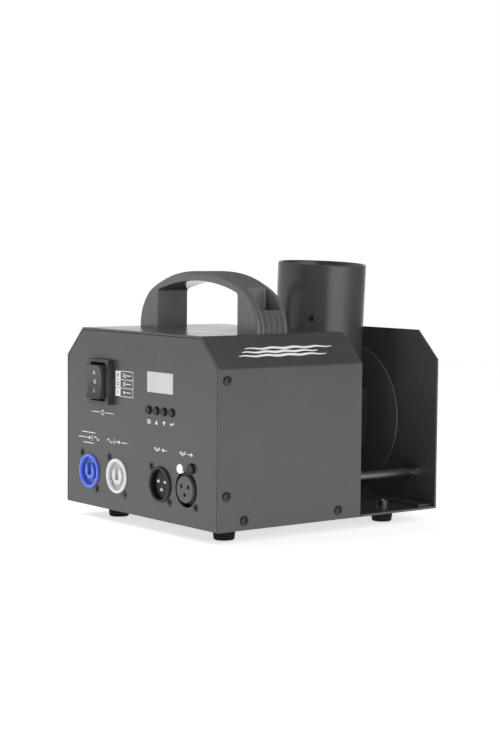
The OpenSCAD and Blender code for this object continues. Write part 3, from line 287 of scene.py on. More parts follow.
def finish(name):
    """A surface with its own grain: noise drives the colour, the roughness and a fine bump. Where a finish
    has deep, painted shade darkens its colour with depth behind the panel's face.
    """
    label = f"{name}_finish"
    material = bpy.data.materials.get(label)
    if material:
        return material
    base, rough, metallic, grain, bump, mottle, rough_vary = FINISHES[name]
    extras = EXTRAS.get(name, {})
    chosen = settings().coat
    tone = getattr(chosen, base) if isinstance(base, str) else base
    material = bpy.data.materials.new(label)
    material.use_nodes = True
    tree = material.node_tree
    link = tree.links.new
    shader = tree.nodes["Principled BSDF"]
    shader.inputs["Base Color"].default_value = (*tone, 1)
    shader.inputs["Roughness"].default_value = rough
    shader.inputs["Metallic"].default_value = metallic
    shader.inputs["IOR"].default_value = extras.get("ior", 1.5)
    shader.inputs["Coat Weight"].default_value = extras.get("coat", 0.0)
    shader.inputs["Coat Roughness"].default_value = 0.12
    if "glow" in extras:
        shader.inputs["Emission Color"].default_value = (*tone, 1)
        shader.inputs["Emission Strength"].default_value = extras["glow"]
    place = new_node(tree, "ShaderNodeTexCoord")
    stretch = new_node(tree, "ShaderNodeMapping")
    stretch.inputs["Scale"].default_value = extras.get("streak", (1, 1, 1))
    link(place.outputs["Object"], stretch.inputs["Vector"])
    scale = 1 / (grain * MM if grain else chosen.coat_grain)
    fine = new_node(tree, "ShaderNodeTexNoise", {"Scale": scale, "Detail": 3, "Roughness": 0.6})
    broad = new_node(tree, "ShaderNodeTexNoise", {"Scale": 38.0, "Detail": 4, "Roughness": 0.55})
    for noise in (fine, broad):
        link(stretch.outputs["Vector"], noise.inputs["Vector"])
    both = new_node(tree, "ShaderNodeMath", {1: 0.5}, operation="ADD", use_clamp=True)
    shift = new_node(tree, "ShaderNodeMath", {1: 0.5}, operation="SUBTRACT")
    half = new_node(tree, "ShaderNodeMath", {1: 0.6}, operation="MULTIPLY")
    link(fine.outputs["Fac"], shift.inputs[0])
    link(shift.outputs[0], half.inputs[0])
    link(half.outputs[0], both.inputs[0])
    link(broad.outputs["Fac"], both.inputs[1])
    ramp = new_node(tree, "ShaderNodeValToRGB")
    ramp.color_ramp.elements[0].position = 0.25
    ramp.color_ramp.elements[1].position = 0.75
    ramp.color_ramp.elements[0].color = (*[c * (1 - mottle) for c in tone], 1)
    ramp.color_ramp.elements[1].color = (*[min(1, c * (1 + mottle)) for c in tone], 1)
    link(both.outputs[0], ramp.inputs["Fac"])
    link(ramp.outputs["Color"], shader.inputs["Base Color"])
    # Painted shade: the colour falls to a share of itself with depth behind the panel's face, in place of the
    # shade inside a bore
    if "deep" in extras:
        front, back, share = extras["deep"]
        split = new_node(tree, "ShaderNodeSeparateXYZ")
        depth_shade = new_node(tree, "ShaderNodeMapRange", {
            "From Min": PANEL_Y + front, "From Max": PANEL_Y + back, "To Min": 1.0, "To Max": share,
        })
        painted_shade = new_node(tree, "ShaderNodeMix", data_type="RGBA", blend_type="MULTIPLY")
        painted_shade.inputs[0].default_value = 1.0
        link(place.outputs["Object"], split.inputs["Vector"])
        link(split.outputs["Y"], depth_shade.inputs["Value"])
        link(ramp.outputs["Color"], painted_shade.inputs[6])
        link(depth_shade.outputs["Result"], painted_shade.inputs[7])
        link(painted_shade.outputs[2], shader.inputs["Base Color"])
    if rough_vary:
        spread = new_node(tree, "ShaderNodeMapRange", {
            "From Min": 0.3, "From Max": 0.7, "To Min": max(0.02, rough - rough_vary),
            "To Max": min(1, rough + rough_vary),
        })
        link(broad.outputs["Fac"], spread.inputs["Value"])
        link(spread.outputs["Result"], shader.inputs["Roughness"])
    relief = new_node(tree, "ShaderNodeBump", {"Strength": 1.0, "Distance": bump * MM})
    link(fine.outputs["Fac"], relief.inputs["Height"])
    link(relief.outputs["Normal"], shader.inputs["Normal"])
    return material


# ---------------------------------------------------------------- mesh helpers


def mesh_from(bm, name):
    """A bmesh as a mesh with its normals outward; the bmesh is used up."""
    bmesh.ops.recalc_face_normals(bm, faces=bm.faces)
    mesh = bpy.data.meshes.new(name)
    bm.to_mesh(mesh)
    bm.free()
    return mesh


def linked(name, data):
    """A new object in the scene."""
    made = bpy.data.objects.new(name, data)
    bpy.context.scene.collection.objects.link(made)
    return made


def discard(*objects):
    """Deletes objects and their meshes."""
    for thing in objects:
        mesh = thing.data
        bpy.data.objects.remove(thing)
        bpy.data.meshes.remove(mesh)


def evaluated(thing):
    """What an object's modifiers make, as a bmesh."""
    graph = bpy.context.evaluated_depsgraph_get()
    mesh = bpy.data.meshes.new_from_object(thing.evaluated_get(graph))
    result = bmesh.new()
    result.from_mesh(mesh)
    bpy.data.meshes.remove(mesh)
    return result


def add_piece(name, source, look, body="root", node=None, angle=32):
    """A finished piece from a bmesh, riding on a body and standing for a CAD node. Its shading is
    smooth, but for edges sharper than angle in degrees."""
    mesh = mesh_from(source, name)
    mesh.materials.clear()
    mesh.materials.append(finish(look))
    for polygon in mesh.polygons:
        polygon.use_smooth = True
    mesh.set_sharp_from_angle(angle=math.radians(angle))
    piece = linked(name, mesh)
    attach(piece, body)
    if node:
        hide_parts(node)
    return piece


def round_edges(piece, width, steps=2, angle=40):
    bevel = piece.modifiers.new("edges", "BEVEL")
    bevel.width = width
    bevel.segments = steps
    bevel.limit_method = "ANGLE"
    bevel.angle_limit = math.radians(angle)
    bevel.harden_normals = True
    bevel.use_clamp_overlap = True
    even = piece.modifiers.new("even_faces", "WEIGHTED_NORMAL")
    even.weight = 100
    even.keep_sharp = True
    return piece


def node_copy(node):
    """A merged copy of a CAD node's mesh, with flat areas joined, as a bmesh."""
    bm = bmesh.new()
    bm.from_mesh(frame["nodes"][node].data)
    bmesh.ops.remove_doubles(bm, verts=bm.verts, dist=MERGE)
    bmesh.ops.dissolve_limit(bm, angle_limit=math.radians(0.6), verts=bm.verts, edges=bm.edges)
    return bm


def softened(node, look, body="root", width=0.25 * MM, steps=2, angle=40):
    """A CAD node's own shape with its edges rounded, standing for that node."""
    piece = add_piece(f"{node}_finished", node_copy(node), look, body, node)
    return round_edges(piece, width, steps, angle)


def lathe(profile, steps=48, matrix=None):
    """A turned solid about Z from a closed run of (radius, height) points."""
    bm = bmesh.new()
    rings = []
    for radius, z in profile:
        if radius <= 1e-9:
            rings.append([bm.verts.new((0, 0, z))])
            continue
        rings.append([
            bm.verts.new((radius * math.cos(a), radius * math.sin(a), z))
            for a in (2 * math.pi * i / steps for i in range(steps))
        ])
    closed = profile[0][0] > 1e-9 or profile[-1][0] > 1e-9
    pairs = list(zip(rings, rings[1:]))
    if closed:
        pairs.append((rings[-1], rings[0]))
    for a, b in pairs:
        for i in range(steps):
            j = (i + 1) % steps
            ring = [a[i % len(a)], a[j % len(a)], b[j % len(b)], b[i % len(b)]]
            corners = []
            for v in ring:
                if v not in corners:
                    corners.append(v)
            if len(corners) > 2:
                bm.faces.new(corners)
    if matrix is not None:
        bm.transform(matrix)
    return bm


def skin(bm, a, b):
    """Faces between two rings of vertices."""
    for i in range(len(a)):
        j = (i + 1) % len(a)
        bm.faces.new([a[i], a[j], b[j], b[i]])


def prism(outline, depth, matrix=None):
    """A solid from a flat outline in X and Y, from Z 0 to depth."""
    bm = bmesh.new()
    low_ring = [bm.verts.new((x, y, 0)) for x, y in outline]
    high_ring = [bm.verts.new((x, y, depth)) for x, y in outline]
    bm.faces.new(list(reversed(low_ring)))
    bm.faces.new(high_ring)
    skin(bm, low_ring, high_ring)
    if matrix is not None:
        bm.transform(matrix)
    return bm


def pin(radius, start, end, steps=48, matrix=None):
    """A plain cylinder about Z."""
    return lathe([(0, start), (radius, start), (radius, end), (0, end)], steps, matrix)


def rectangle(width, height):
    """A centred outline."""
    x, y = width / 2, height / 2
    return [(-x, -y), (x, -y), (x, y), (-x, y)]


def block(size, centre):
    bm = bmesh.new()
    bmesh.ops.create_cube(bm, size=1.0, matrix=Matrix.Translation(centre) @ Matrix.Diagonal((*size, 1)))
    return bm


def joined(*parts):
    """Several bmeshes as one."""
    whole = bmesh.new()
    for part in parts:
        mesh = bpy.data.meshes.new("part")
        part.to_mesh(mesh)
        part.free()
        whole.from_mesh(mesh)
        bpy.data.meshes.remove(mesh)
    return whole


def carve(bm, *cutters):
    """The bmesh with the cutters taken away."""
    blank, *tools = [linked("blank", mesh_from(source, "blank")) for source in (bm, *cutters)]
    for tool in tools:
        cut = blank.modifiers.new("cut", "BOOLEAN")
        cut.operation = "DIFFERENCE"
        cut.solver = "EXACT"
        cut.object = tool
    result = evaluated(blank)
    discard(blank, *tools)
    return result


# The model's axes seen from the panel: X to the right, Z up, out of the panel along -Y
def facing_panel(x, z, y=None):
    """A matrix whose Z points out of the panel and whose Y is up, at x, z."""
    turn = Matrix(((1, 0, 0), (0, 0, -1), (0, 1, 0))).to_4x4()
    return Matrix.Translation((x, PANEL_Y if y is None else y, z)) @ turn


def along(axis, at):
    """A matrix whose Z points along axis, at a point."""
    return Matrix.Translation(at) @ Vector(axis).to_track_quat("Z", "Y").to_matrix().to_4x4()


def arc(centre, radius, start, end, steps):
    """Points on an arc, angles in degrees."""
    return [
        (centre[0] + radius * math.cos(math.radians(start + (end - start) * i / steps)),
         centre[1] + radius * math.sin(math.radians(start + (end - start) * i / steps)))
        for i in range(steps + 1)
    ]


def rounded_corners(points, radius, steps=4):
    """A closed outline with every corner rounded."""
    done = []
    count = len(points)
    for i, corner in enumerate(points):
        p = Vector(corner)
        before = (Vector(points[i - 1]) - p).normalized()
        after = (Vector(points[(i + 1) % count]) - p).normalized()
        angle = before.angle(after)
        cut = radius / math.tan(angle / 2)
        centre = p + (before + after).normalized() * radius / math.sin(angle / 2)
        first = p + before * cut - centre
        last = p + after * cut - centre
        turn = first.angle_signed(last)
        for k in range(steps + 1):
            v = first.copy()
            v.rotate(Matrix.Rotation(-turn * k / steps, 2))
            done.append(tuple(centre + v))
    return done


# ---------------------------------------------------------------- geometry nodes


def tree_of(name, sockets, nodes, links, last):
    """A geometry tree with named inputs. Links are written as node.Output > node.Input, and what
    the last socket gives is realised and takes the finish."""
    tree = bpy.data.node_groups.get(name)
    if tree:
        return tree
    tree = bpy.data.node_groups.new(name, "GeometryNodeTree")
    tree.interface.new_socket("Geometry", in_out="INPUT", socket_type="NodeSocketGeometry")
    for label, (kind, default) in {**sockets, "Finish": ("Material", None)}.items():
        socket = tree.interface.new_socket(label, in_out="INPUT", socket_type=f"NodeSocket{kind}")
        if default is not None:
            socket.default_value = default
    tree.interface.new_socket("Geometry", in_out="OUTPUT", socket_type="NodeSocketGeometry")
    made = {"in": new_node(tree, "NodeGroupInput")}
    for label, (kind, values, attributes) in nodes.items():
        made[label] = new_node(tree, kind, values, **attributes)
    made["solid"] = new_node(tree, "GeometryNodeRealizeInstances")
    made["paint"] = new_node(tree, "GeometryNodeSetMaterial")
    made["out"] = new_node(tree, "NodeGroupOutput")
    links = (*links, f"{last} > solid.Geometry", "solid.Geometry > paint.Geometry",
             "in.Finish > paint.Material", "paint.Geometry > out.Geometry")
    for line in links:
        (source, given), (sink, taken) = (end.split(".") for end in line.split(" > "))
        given = int(given) if given.isdigit() else given
        tree.links.new(made[source].outputs[given], made[sink].inputs[taken])
    return tree


def fastener_tree():
    """Sets one fastener on every point, aimed by the point's own direction."""
    return tree_of("fasteners_on_points", {
        "Fastener": ("Object", None),
        "Turn seed": ("Int", 7),
    }, {
        "info": ("GeometryNodeObjectInfo", {}, {}),
        "aim": ("GeometryNodeInputNamedAttribute", {"Name": "aim"}, {"data_type": "FLOAT_VECTOR"}),
        "turn": ("FunctionNodeAlignRotationToVector", {}, {"axis": "Z"}),
        "set": ("GeometryNodeInstanceOnPoints", {}, {}),
        "spin": ("FunctionNodeRandomValue", {"Max": 6.28318}, {"data_type": "FLOAT"}),
        "about": ("ShaderNodeCombineXYZ", {}, {}),
        "twist": ("GeometryNodeRotateInstances", {}, {}),
    }, (
        "in.Geometry > set.Points", "in.Fastener > info.Object", "info.Geometry > set.Instance",
        "aim.Attribute > turn.Vector", "turn.Rotation > set.Rotation", "in.Turn seed > spin.Seed",
        "spin.1 > about.Z", "set.Instances > twist.Instances", "about.Vector > twist.Rotation",
    ), "twist.Instances")


def helix_tree():
    """A thread or a spring: a profile swept along a helix about Z."""
    return tree_of("helix", {
        "Radius": ("Float", 3 * MM),
        "Turns": ("Float", 5.0),
        "Length": ("Float", 5 * MM),
        "Wire": ("Float", 0.3 * MM),
        "Steps": ("Int", 20),
        "Wire sides": ("Int", 6),
    }, {
        "spiral": ("GeometryNodeCurveSpiral", {}, {}),
        "wire": ("GeometryNodeCurvePrimitiveCircle", {}, {}),
        "sweep": ("GeometryNodeCurveToMesh", {"Fill Caps": True}, {}),
    }, (
        "in.Steps > spiral.Resolution", "in.Turns > spiral.Rotations", "in.Radius > spiral.Start Radius",
        "in.Radius > spiral.End Radius", "in.Length > spiral.Height", "in.Wire > wire.Radius",
        "in.Wire sides > wire.Resolution", "spiral.Curve > sweep.Curve",
        "wire.Curve > sweep.Profile Curve",
    ), "sweep.Mesh")


def ribs_tree():
    """Upright ribs set round a circle, for caps and knobs."""
    return tree_of("ribs_round_circle", {
        "Radius": ("Float", 8 * MM),
        "Count": ("Int", 24),
        "Rib": ("Vector", (0.6 * MM, 0.9 * MM, 5 * MM)),
    }, {
        "ring": ("GeometryNodeMeshCircle", {}, {}),
        "rib": ("GeometryNodeMeshCube", {}, {}),
        "place": ("GeometryNodeInputPosition", {}, {}),
        "turn": ("FunctionNodeAlignRotationToVector", {}, {"axis": "X", "pivot_axis": "Z"}),
        "set": ("GeometryNodeInstanceOnPoints", {}, {}),
    }, (
        "in.Radius > ring.Radius", "in.Count > ring.Vertices", "in.Rib > rib.Size",
        "place.Position > turn.Vector", "ring.Mesh > set.Points", "rib.Mesh > set.Instance",
        "turn.Rotation > set.Rotation",
    ), "set.Instances")


def run_tree(tree, values, points=((0, 0, 0),), aims=()):
    """What a geometry tree makes from some points, as a bmesh."""
    mesh = bpy.data.meshes.new("tree_points")
    mesh.from_pydata([tuple(p) for p in points], [], [])
    if aims:
        attribute = mesh.attributes.new("aim", "FLOAT_VECTOR", "POINT")
        attribute.data.foreach_set("vector", [c for a in aims for c in a])
    carrier = linked("tree_carrier", mesh)
    modifier = carrier.modifiers.new("tree", "NODES")
    modifier.node_group = tree
    for item in tree.interface.items_tree:
        if item.item_type == "SOCKET" and item.in_out == "INPUT" and item.name in values:
            value = values[item.name]
            modifier[item.identifier] = finish(value) if item.name == "Finish" else value
    result = evaluated(carrier)
    discard(carrier)
    if not result.verts:
        raise RuntimeError(f"{tree.name} made nothing")
    return result


# ---------------------------------------------------------------- fasteners


def cross_recess(size, depth, top):
    """Cutters for a cross recess in a screw's head."""
    arm = (size, size * 0.2, depth * 2)
    return [block(arm, (0, 0, top)), block((arm[1], arm[0], arm[2]), (0, 0, top)),
            lathe([(0, top - depth * 1.3), (size * 0.2, top - depth * 0.7), (size * 0.26, top + depth),
                   (0, top + depth)], 12)]


def thread(core, start, turns, pitch, wire, look, matrix):
    """A thread round a core, from a height along the matrix's Z."""
    coil = run_tree(helix_tree(), {"Radius": core, "Turns": turns, "Length": turns * pitch,
                                   "Wire": wire, "Steps": 24, "Wire sides": 6, "Finish": look})
    coil.transform(matrix @ Matrix.Translation((0, 0, start)))
    return coil


def pan_screw(radius, height, shank, length):
    """A domed cross-head screw, its head's underside at Z 0."""
    edge = height * 0.35
    dome = [(0, height)]
    dome += [(radius * math.sin(math.radians(a)) * 0.985, edge + (height - edge) * math.cos(math.radians(a)))
             for a in range(12, 85, 9)]
    profile = dome + [(radius, edge), (radius, 0.12 * height), (radius * 0.96, 0), (shank, 0),
                      (shank, -length + 0.4 * MM), (shank * 0.7, -length), (0, -length)]
    return carve(lathe(profile, 36), *cross_recess(radius * 1.15, height * 0.55, height))


def flush_screw(radius, depth, shank, length):
    """A countersunk cross-head screw, its top at Z 0."""
    profile = [(0, 0.0), (radius * 0.9, 0.0), (radius, -0.12 * MM), (shank, -depth),
               (shank, -length), (0, -length)]
    return carve(lathe(profile, 36), *cross_recess(radius * 1.15, depth * 0.6, 0))


def hex_nut(across, height, bore):
    """A chamfered hexagon nut, its underside at Z 0."""
    radius = across / math.cos(math.radians(30)) / 2
    outline = [(radius * math.cos(math.radians(60 * i)), radius * math.sin(math.radians(60 * i)))
               for i in range(6)]
    body = prism(outline, height)
    face, beyond, past = across / 2 * 0.96, radius * 1.3, 0.1 * MM
    cone = lathe([(face, -past), (beyond, -past), (beyond, height * 0.25)], 48)
    top = lathe([(face, height + past), (beyond, height * 0.75), (beyond, height + past)], 48)
    return carve(body, cone, top, pin(bore, -MM, height + MM, 32))


def set_fasteners(name, master, places, look, node=None, seed=7, body="root"):
    """Fasteners at (point, direction) places, made by the fastener tree."""
    pattern = linked("fastener", mesh_from(master, "fastener"))
    made = run_tree(fastener_tree(), {"Fastener": pattern, "Turn seed": seed, "Finish": look},
                    [p for p, _ in places], [Vector(a).normalized() for _, a in places])
    discard(pattern)
    return add_piece(name, made, look, body, node)


def island_centres(node):
    """The middle and the size of every separate solid in a CAD node."""
    bm = bmesh.new()
    bm.from_mesh(frame["nodes"][node].data)
    bmesh.ops.remove_doubles(bm, verts=bm.verts, dist=MERGE)
    left = set(bm.verts)
    found = []
    while left:
        stack = [left.pop()]
        group = list(stack)
        while stack:
            for edge in stack.pop().link_edges:
                for v in edge.verts:
                    if v in left:
                        left.remove(v)
                        stack.append(v)
                        group.append(v)
        corners = [[f(v.co[k] for v in group) for k in range(3)] for f in (min, max)]
        found.append((Vector(corners[0]), Vector(corners[1])))
    bm.free()
    return sorted(found, key=lambda c: tuple(round(x, 4) for x in c[0]))


# ---------------------------------------------------------------- operators


class MakerOperator(bpy.types.Operator):
    """Base of the operators that make pieces."""

    bl_idname = "fog.maker"
    bl_label = "Make"
    bl_options = {"REGISTER", "UNDO"}

    def execute(self, context):
        self.make()
        return {"FINISHED"}


class FOG_OT_case(MakerOperator):
    """Make the folded cover, the panel, the floor, the rear plate and the box's rear wall"""

    bl_idname = "fog.case"
    bl_label = "Case"

    def make(self):
        s = settings().sheet
        self.cover(s)
        for node in ("front_panel", "bulkhead", "rear_plate", "base_pan"):
            softened(node, "powder_coat", width=s.edge)

    def cover(self, s):
        """The cover as one sheet bent round the case."""
        slope = [(HALF_W, FLOOR_Z), (HALF_W, TOP_Z - CHAMFER), (HALF_W - CHAMFER, TOP_Z)]
        outer = [slope[0]] + self.bent(slope, s.fold, s.fold_steps)
        bend = SHEET * math.tan(math.radians(22.5))
        within = [(HALF_W - SHEET, FLOOR_Z), (HALF_W - SHEET, TOP_Z - CHAMFER - bend),
                  (HALF_W - CHAMFER - bend, TOP_Z - SHEET)]
        inner = [within[0]] + self.bent(within, s.fold - SHEET, s.fold_steps)
        left = [(-x, z) for x, z in reversed(outer)]
        left_inner = [(-x, z) for x, z in reversed(inner)]
        outline = outer + left + list(reversed(inner + left_inner))
        depth = BOX_END - PANEL_Y
        matrix = Matrix.Translation((0, BOX_END, 0)) @ Matrix(((1, 0, 0), (0, 0, -1), (0, 1, 0))).to_4x4()
        sheet = prism(outline, depth, matrix)
        piece = add_piece("cover_sheet", sheet, "powder_coat", "root", "cover", 22)
        round_edges(piece, s.edge, 2, 60)

    def bent(self, slope, radius, steps):
        """The two folds of one side, the second of which ends flat on the top."""
        side, corner, top = (Vector(p) for p in slope)
        done = []
        for at, before, after in ((corner, side, top), (top, corner, Vector((0, top.y)))):
            one = (before - at).normalized()
            two = (after - at).normalized()
            angle = one.angle(two)
            reach = radius / math.tan(angle / 2)
            centre = at + (one + two).normalized() * radius / math.sin(angle / 2)
            start, end = at + one * reach - centre, at + two * reach - centre
            turn = math.atan2(start.x * end.y - start.y * end.x, start.dot(end))
            for k in range(steps + 1):
                a = turn * k / steps
                done.append((centre.x + start.x * math.cos(a) - start.y * math.sin(a),
                             centre.y + start.x * math.sin(a) + start.y * math.cos(a)))
        return done


class FOG_OT_handle(MakerOperator):
    """Make the arched handle with its flutes and screw pockets"""

    bl_idname = "fog.handle"
    bl_label = "Handle"

    def make(self):
        s = settings().handle
        lo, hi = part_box("handle")
        half, height = (hi.x - lo.x) / 2, hi.z - lo.z
        base, mid_y, depth = lo.z, (lo.y + hi.y) / 2, hi.y - lo.y
        steps = 72
        power = 2.25
        bm = bmesh.new()
        rings = []
        for i in range(steps + 1):
            a = math.pi * i / steps
            c, d = math.cos(a), math.sin(a)
            outer = Vector((half * math.copysign(abs(c) ** (2 / power), c), height * abs(d) ** (2 / power)))
            inner = self.inner_point(i / steps, half - s.leg, s.grip_height, s.grip_side)
            rings.append([
                bm.verts.new((p.x, mid_y + y, base + p.y))
                for y, p in self.section(outer, inner, depth, s)
            ])
        for a, b in zip(rings, rings[1:]):
            skin(bm, a, b)
        bm.faces.new(rings[0])
        bm.faces.new(list(reversed(rings[-1])))
        bmesh.ops.recalc_face_normals(bm, faces=bm.faces)
        cutters = []
        for side in (-1, 1):
            start = half - s.leg + s.pocket_wall
            outline = rounded_corners(rectangle(half, s.pocket_width), 1.2 * MM)
            cutters.append(prism(outline, height, Matrix.Translation(
                (side * (start + half / 2), mid_y, base + s.pocket_mouth))))
            share = (s.pocket_mouth / height) ** power
            well = half * (1 - share) ** (1 / power) - s.rim - start
            outline = rounded_corners(rectangle(well, s.pocket_width), 1.2 * MM)
            cutters.append(prism(outline, s.pocket_depth + 1 * MM, Matrix.Translation(
                (side * (start + well / 2), mid_y, base + s.pocket_mouth - s.pocket_depth))))
        piece = add_piece("handle_arch", carve(bm, *cutters), "handle_plastic", "root", "handle", 38)
        round_edges(piece, 0.3 * MM, 2, 50)

    def inner_point(self, share, grip, crown, side):
        """A point on the finger opening, from the right leg over the crown to the left leg."""
        rise = crown - side
        radius = (grip * grip + rise * rise) / (2 * rise)
        leg_share = 0.17
        corner = 2.2 * MM
        if share < leg_share:
            return Vector((grip, (side - corner) * share / leg_share))
        if share > 1 - leg_share:
            return Vector((-grip, (side - corner) * (1 - share) / leg_share))
        t = (share - leg_share) / (1 - 2 * leg_share)
        x = (grip - corner * 0.5) * math.cos(math.pi * t) if 0.02 < t < 0.98 else grip * math.cos(math.pi * t)
        z = crown - radius + math.sqrt(max(0, radius * radius - x * x))
        if t <= 0.02 or t >= 0.98:
            z = side - corner * 0.3
        return Vector((x, z))

    def section(self, outer, inner, depth, s):
        """Ring of (y, point) round the handle at one station, from front to back and round."""
        half = depth / 2
        wall = (inner - outer).length
        r = s.round

        def at(sink):
            return outer + (inner - outer) * (sink / wall)

        ring = []
        shoulder = 2.6 * MM
        lip = 4
        for k in range(lip + 1):
            a = math.pi / 2 * k / lip
            ring.append((-half + r - r * math.cos(a), at(s.step + r - r * math.sin(a))))
        for k in range(1, 4):
            ring.append((-half + r + shoulder * k / 3 * 0.5, at(s.step)))
        top_half = half - r - shoulder * 0.5
        for k in range(3):
            a = math.pi / 2 * k / 3
            ring.append((-top_half + s.step * 0.7 * (1 - math.cos(a)), at(s.step * (1 - math.sin(a)))))
        flat = top_half - s.step * 0.7
        samples = max(12, s.flutes * 8)
        for k in range(samples + 1):
            y = -flat + 2 * flat * k / samples
            wave = 0.5 - 0.5 * math.cos(2 * math.pi * s.flutes * k / samples)
            ring.append((y, at(s.flute_depth * wave)))
        mirrored = [(-y, p) for y, p in reversed(ring[: -(samples + 1)])]
        ring += mirrored
        inner_r = 0.8 * MM
        for k in range(3):
            a = math.pi / 2 * k / 2
            ring.append((half - inner_r + inner_r * math.cos(a), at(wall - inner_r + inner_r * math.sin(a))))
        for k in range(3):
            a = math.pi / 2 * (1 - k / 2)
            ring.append((-half + inner_r - inner_r * math.cos(a), at(wall - inner_r + inner_r * math.sin(a))))
        return ring


class FOG_OT_barrel(MakerOperator):
    """Make the barrel, its disc, saddle, trunnion, guard and the fan"""

    bl_idname = "fog.barrel"
    bl_label = "Barrel and fan"

    def make(self):
        self.tube()
        softened("barrel_saddle", "fan_plastic", "barrel", 0.4 * MM)
        self.disc()
        softened("front_trunnion", "zinc_plate", "barrel", 0.3 * MM)
        softened("trunnion_bush", "outlet_white", "root", 0.25 * MM)
        softened("finger_guard", "black_plastic", "barrel", 0.25 * MM)
        softened("fan_frame", "fan_plastic", "barrel", 0.3 * MM)
        self.rotor()

    def tube(self):
        """The barrel as a turned tube with a rolled rim, drilled like its CAD node."""
        upright = along(BARREL_UP, PIVOT)
        to_local = upright.inverted()
        heights = [(to_local @ v.co).z for v in frame["nodes"]["barrel"].data.vertices]
        lip = 1.0 * MM
        profile = []
        for at, start in ((max(heights) - lip, 0), (min(heights) + lip, 180)):
            profile += arc((BARREL_R - lip, at), lip, start, start + 180, 6)
        tube = lathe(profile, 96)
        tube.transform(upright)
        trunnion_r, bolt_r, reach = 11 * MM, 4 * MM, 40 * MM
        front = pin(trunnion_r, 0, reach, 48, along((0, -1, 0), PIVOT))
        rear = pin(bolt_r, 0, reach, 32, along((0, 1, 0), PIVOT))
        add_piece("barrel_tube", carve(tube, front, rear), "barrel_enamel", "barrel", "barrel", 30)

    def disc(self):
        """The pivot disc with a rounded rim."""
        lo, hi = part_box("pivot_disc")
        radius, thick = (hi.z - lo.z) / 2, hi.y - lo.y
        r = 0.6 * MM
        bore = 4 * MM
        profile = [(bore, 0), (radius - r, 0)]
        profile += arc((radius - r, r), r, -90, 0, 4)
        profile += arc((radius - r, thick - r), r, 0, 90, 4)
        profile += [(radius * 0.5, thick), (bore, thick)]
        solid = lathe(profile, 128, along((0, -1, 0), (0, hi.y, PIVOT.z)))
        add_piece("pivot_disc_turned", solid, "powder_coat", "barrel", "pivot_disc", 30)

    def rotor(self):
        """A moulded hub with a shaft and cambered, swept blades."""
        to_local = along(SPIN["axis"], SPIN["pos_m"])
        local = [to_local.inverted() @ v.co for v in frame["nodes"]["fan_rotor"].data.vertices]
        foot = min(p.z for p in local)
        crown = max(p.z for p in local)
        tip = max(math.hypot(p.x, p.y) for p in local)
        hub, shaft = 10 * MM, 1.5 * MM
        deck = foot + 6 * MM
        profile = [(0, foot), (shaft, foot), (shaft, deck), (hub - 0.4 * MM, deck)]
        profile += arc((hub - 0.4 * MM, deck + 0.4 * MM), 0.4 * MM, -90, 0, 3)
        profile += arc((hub - 1.5 * MM, crown - 1.5 * MM), 1.5 * MM, 0, 90, 6)
        profile += [(0, crown)]
        parts = [lathe(profile, 64)]
        blades = 7
        for i in range(blades):
            parts.append(self.blade(hub, tip, deck, crown, 2 * math.pi * i / blades))
        solid = joined(*parts)
        solid.transform(to_local)
        add_piece("fan_rotor_moulded", solid, "fan_plastic", "fan", "fan_rotor", 40)

    def blade(self, hub, tip, deck, crown, turn):
        """One blade: a thin cambered plate that twists from hub to tip."""
        bm = bmesh.new()
        spans, chords = 10, 8
        thick = 0.9 * MM
        middle_z = (deck + crown) / 2
        grid = {}
        for side in (0, 1):
            for i in range(spans + 1):
                share = i / spans
                radius = hub - 0.4 * MM + (tip - hub + 0.2 * MM) * share
                pitch = math.radians(42 - 14 * share)
                chord = (8.5 + 3.5 * share) * MM
                for j in range(chords + 1):
                    u = j / chords - 0.5
                    camber = 1.3 * MM * (1 - 4 * u * u)
                    edge = thick * (0.25 + 0.75 * (1 - 4 * u * u)) / 2
                    x = u * chord
                    lift = camber + (edge if side else -edge)
                    z = middle_z + x * math.sin(pitch) + lift * math.cos(pitch) - 0.8 * MM
                    z = min(max(z, deck - 0.5 * MM), crown)
                    sweep = turn + (x * math.cos(pitch) - lift * math.sin(pitch)) / radius + 0.22 * share
                    grid[side, i, j] = bm.verts.new((radius * math.cos(sweep), radius * math.sin(sweep), z))
        for i in range(spans):
            for j in range(chords):
                for side in (0, 1):
                    bm.faces.new([grid[side, i, j], grid[side, i + 1, j],
                                  grid[side, i + 1, j + 1], grid[side, i, j + 1]])
        for i in range(spans):
            for j in (0, chords):
                bm.faces.new([grid[0, i, j], grid[0, i + 1, j], grid[1, i + 1, j], grid[1, i, j]])
        for j in range(chords):
            for i in (0, spans):
                bm.faces.new([grid[0, i, j], grid[0, i, j + 1], grid[1, i, j + 1], grid[1, i, j]])
        bmesh.ops.recalc_face_normals(bm, faces=bm.faces)
        return bm


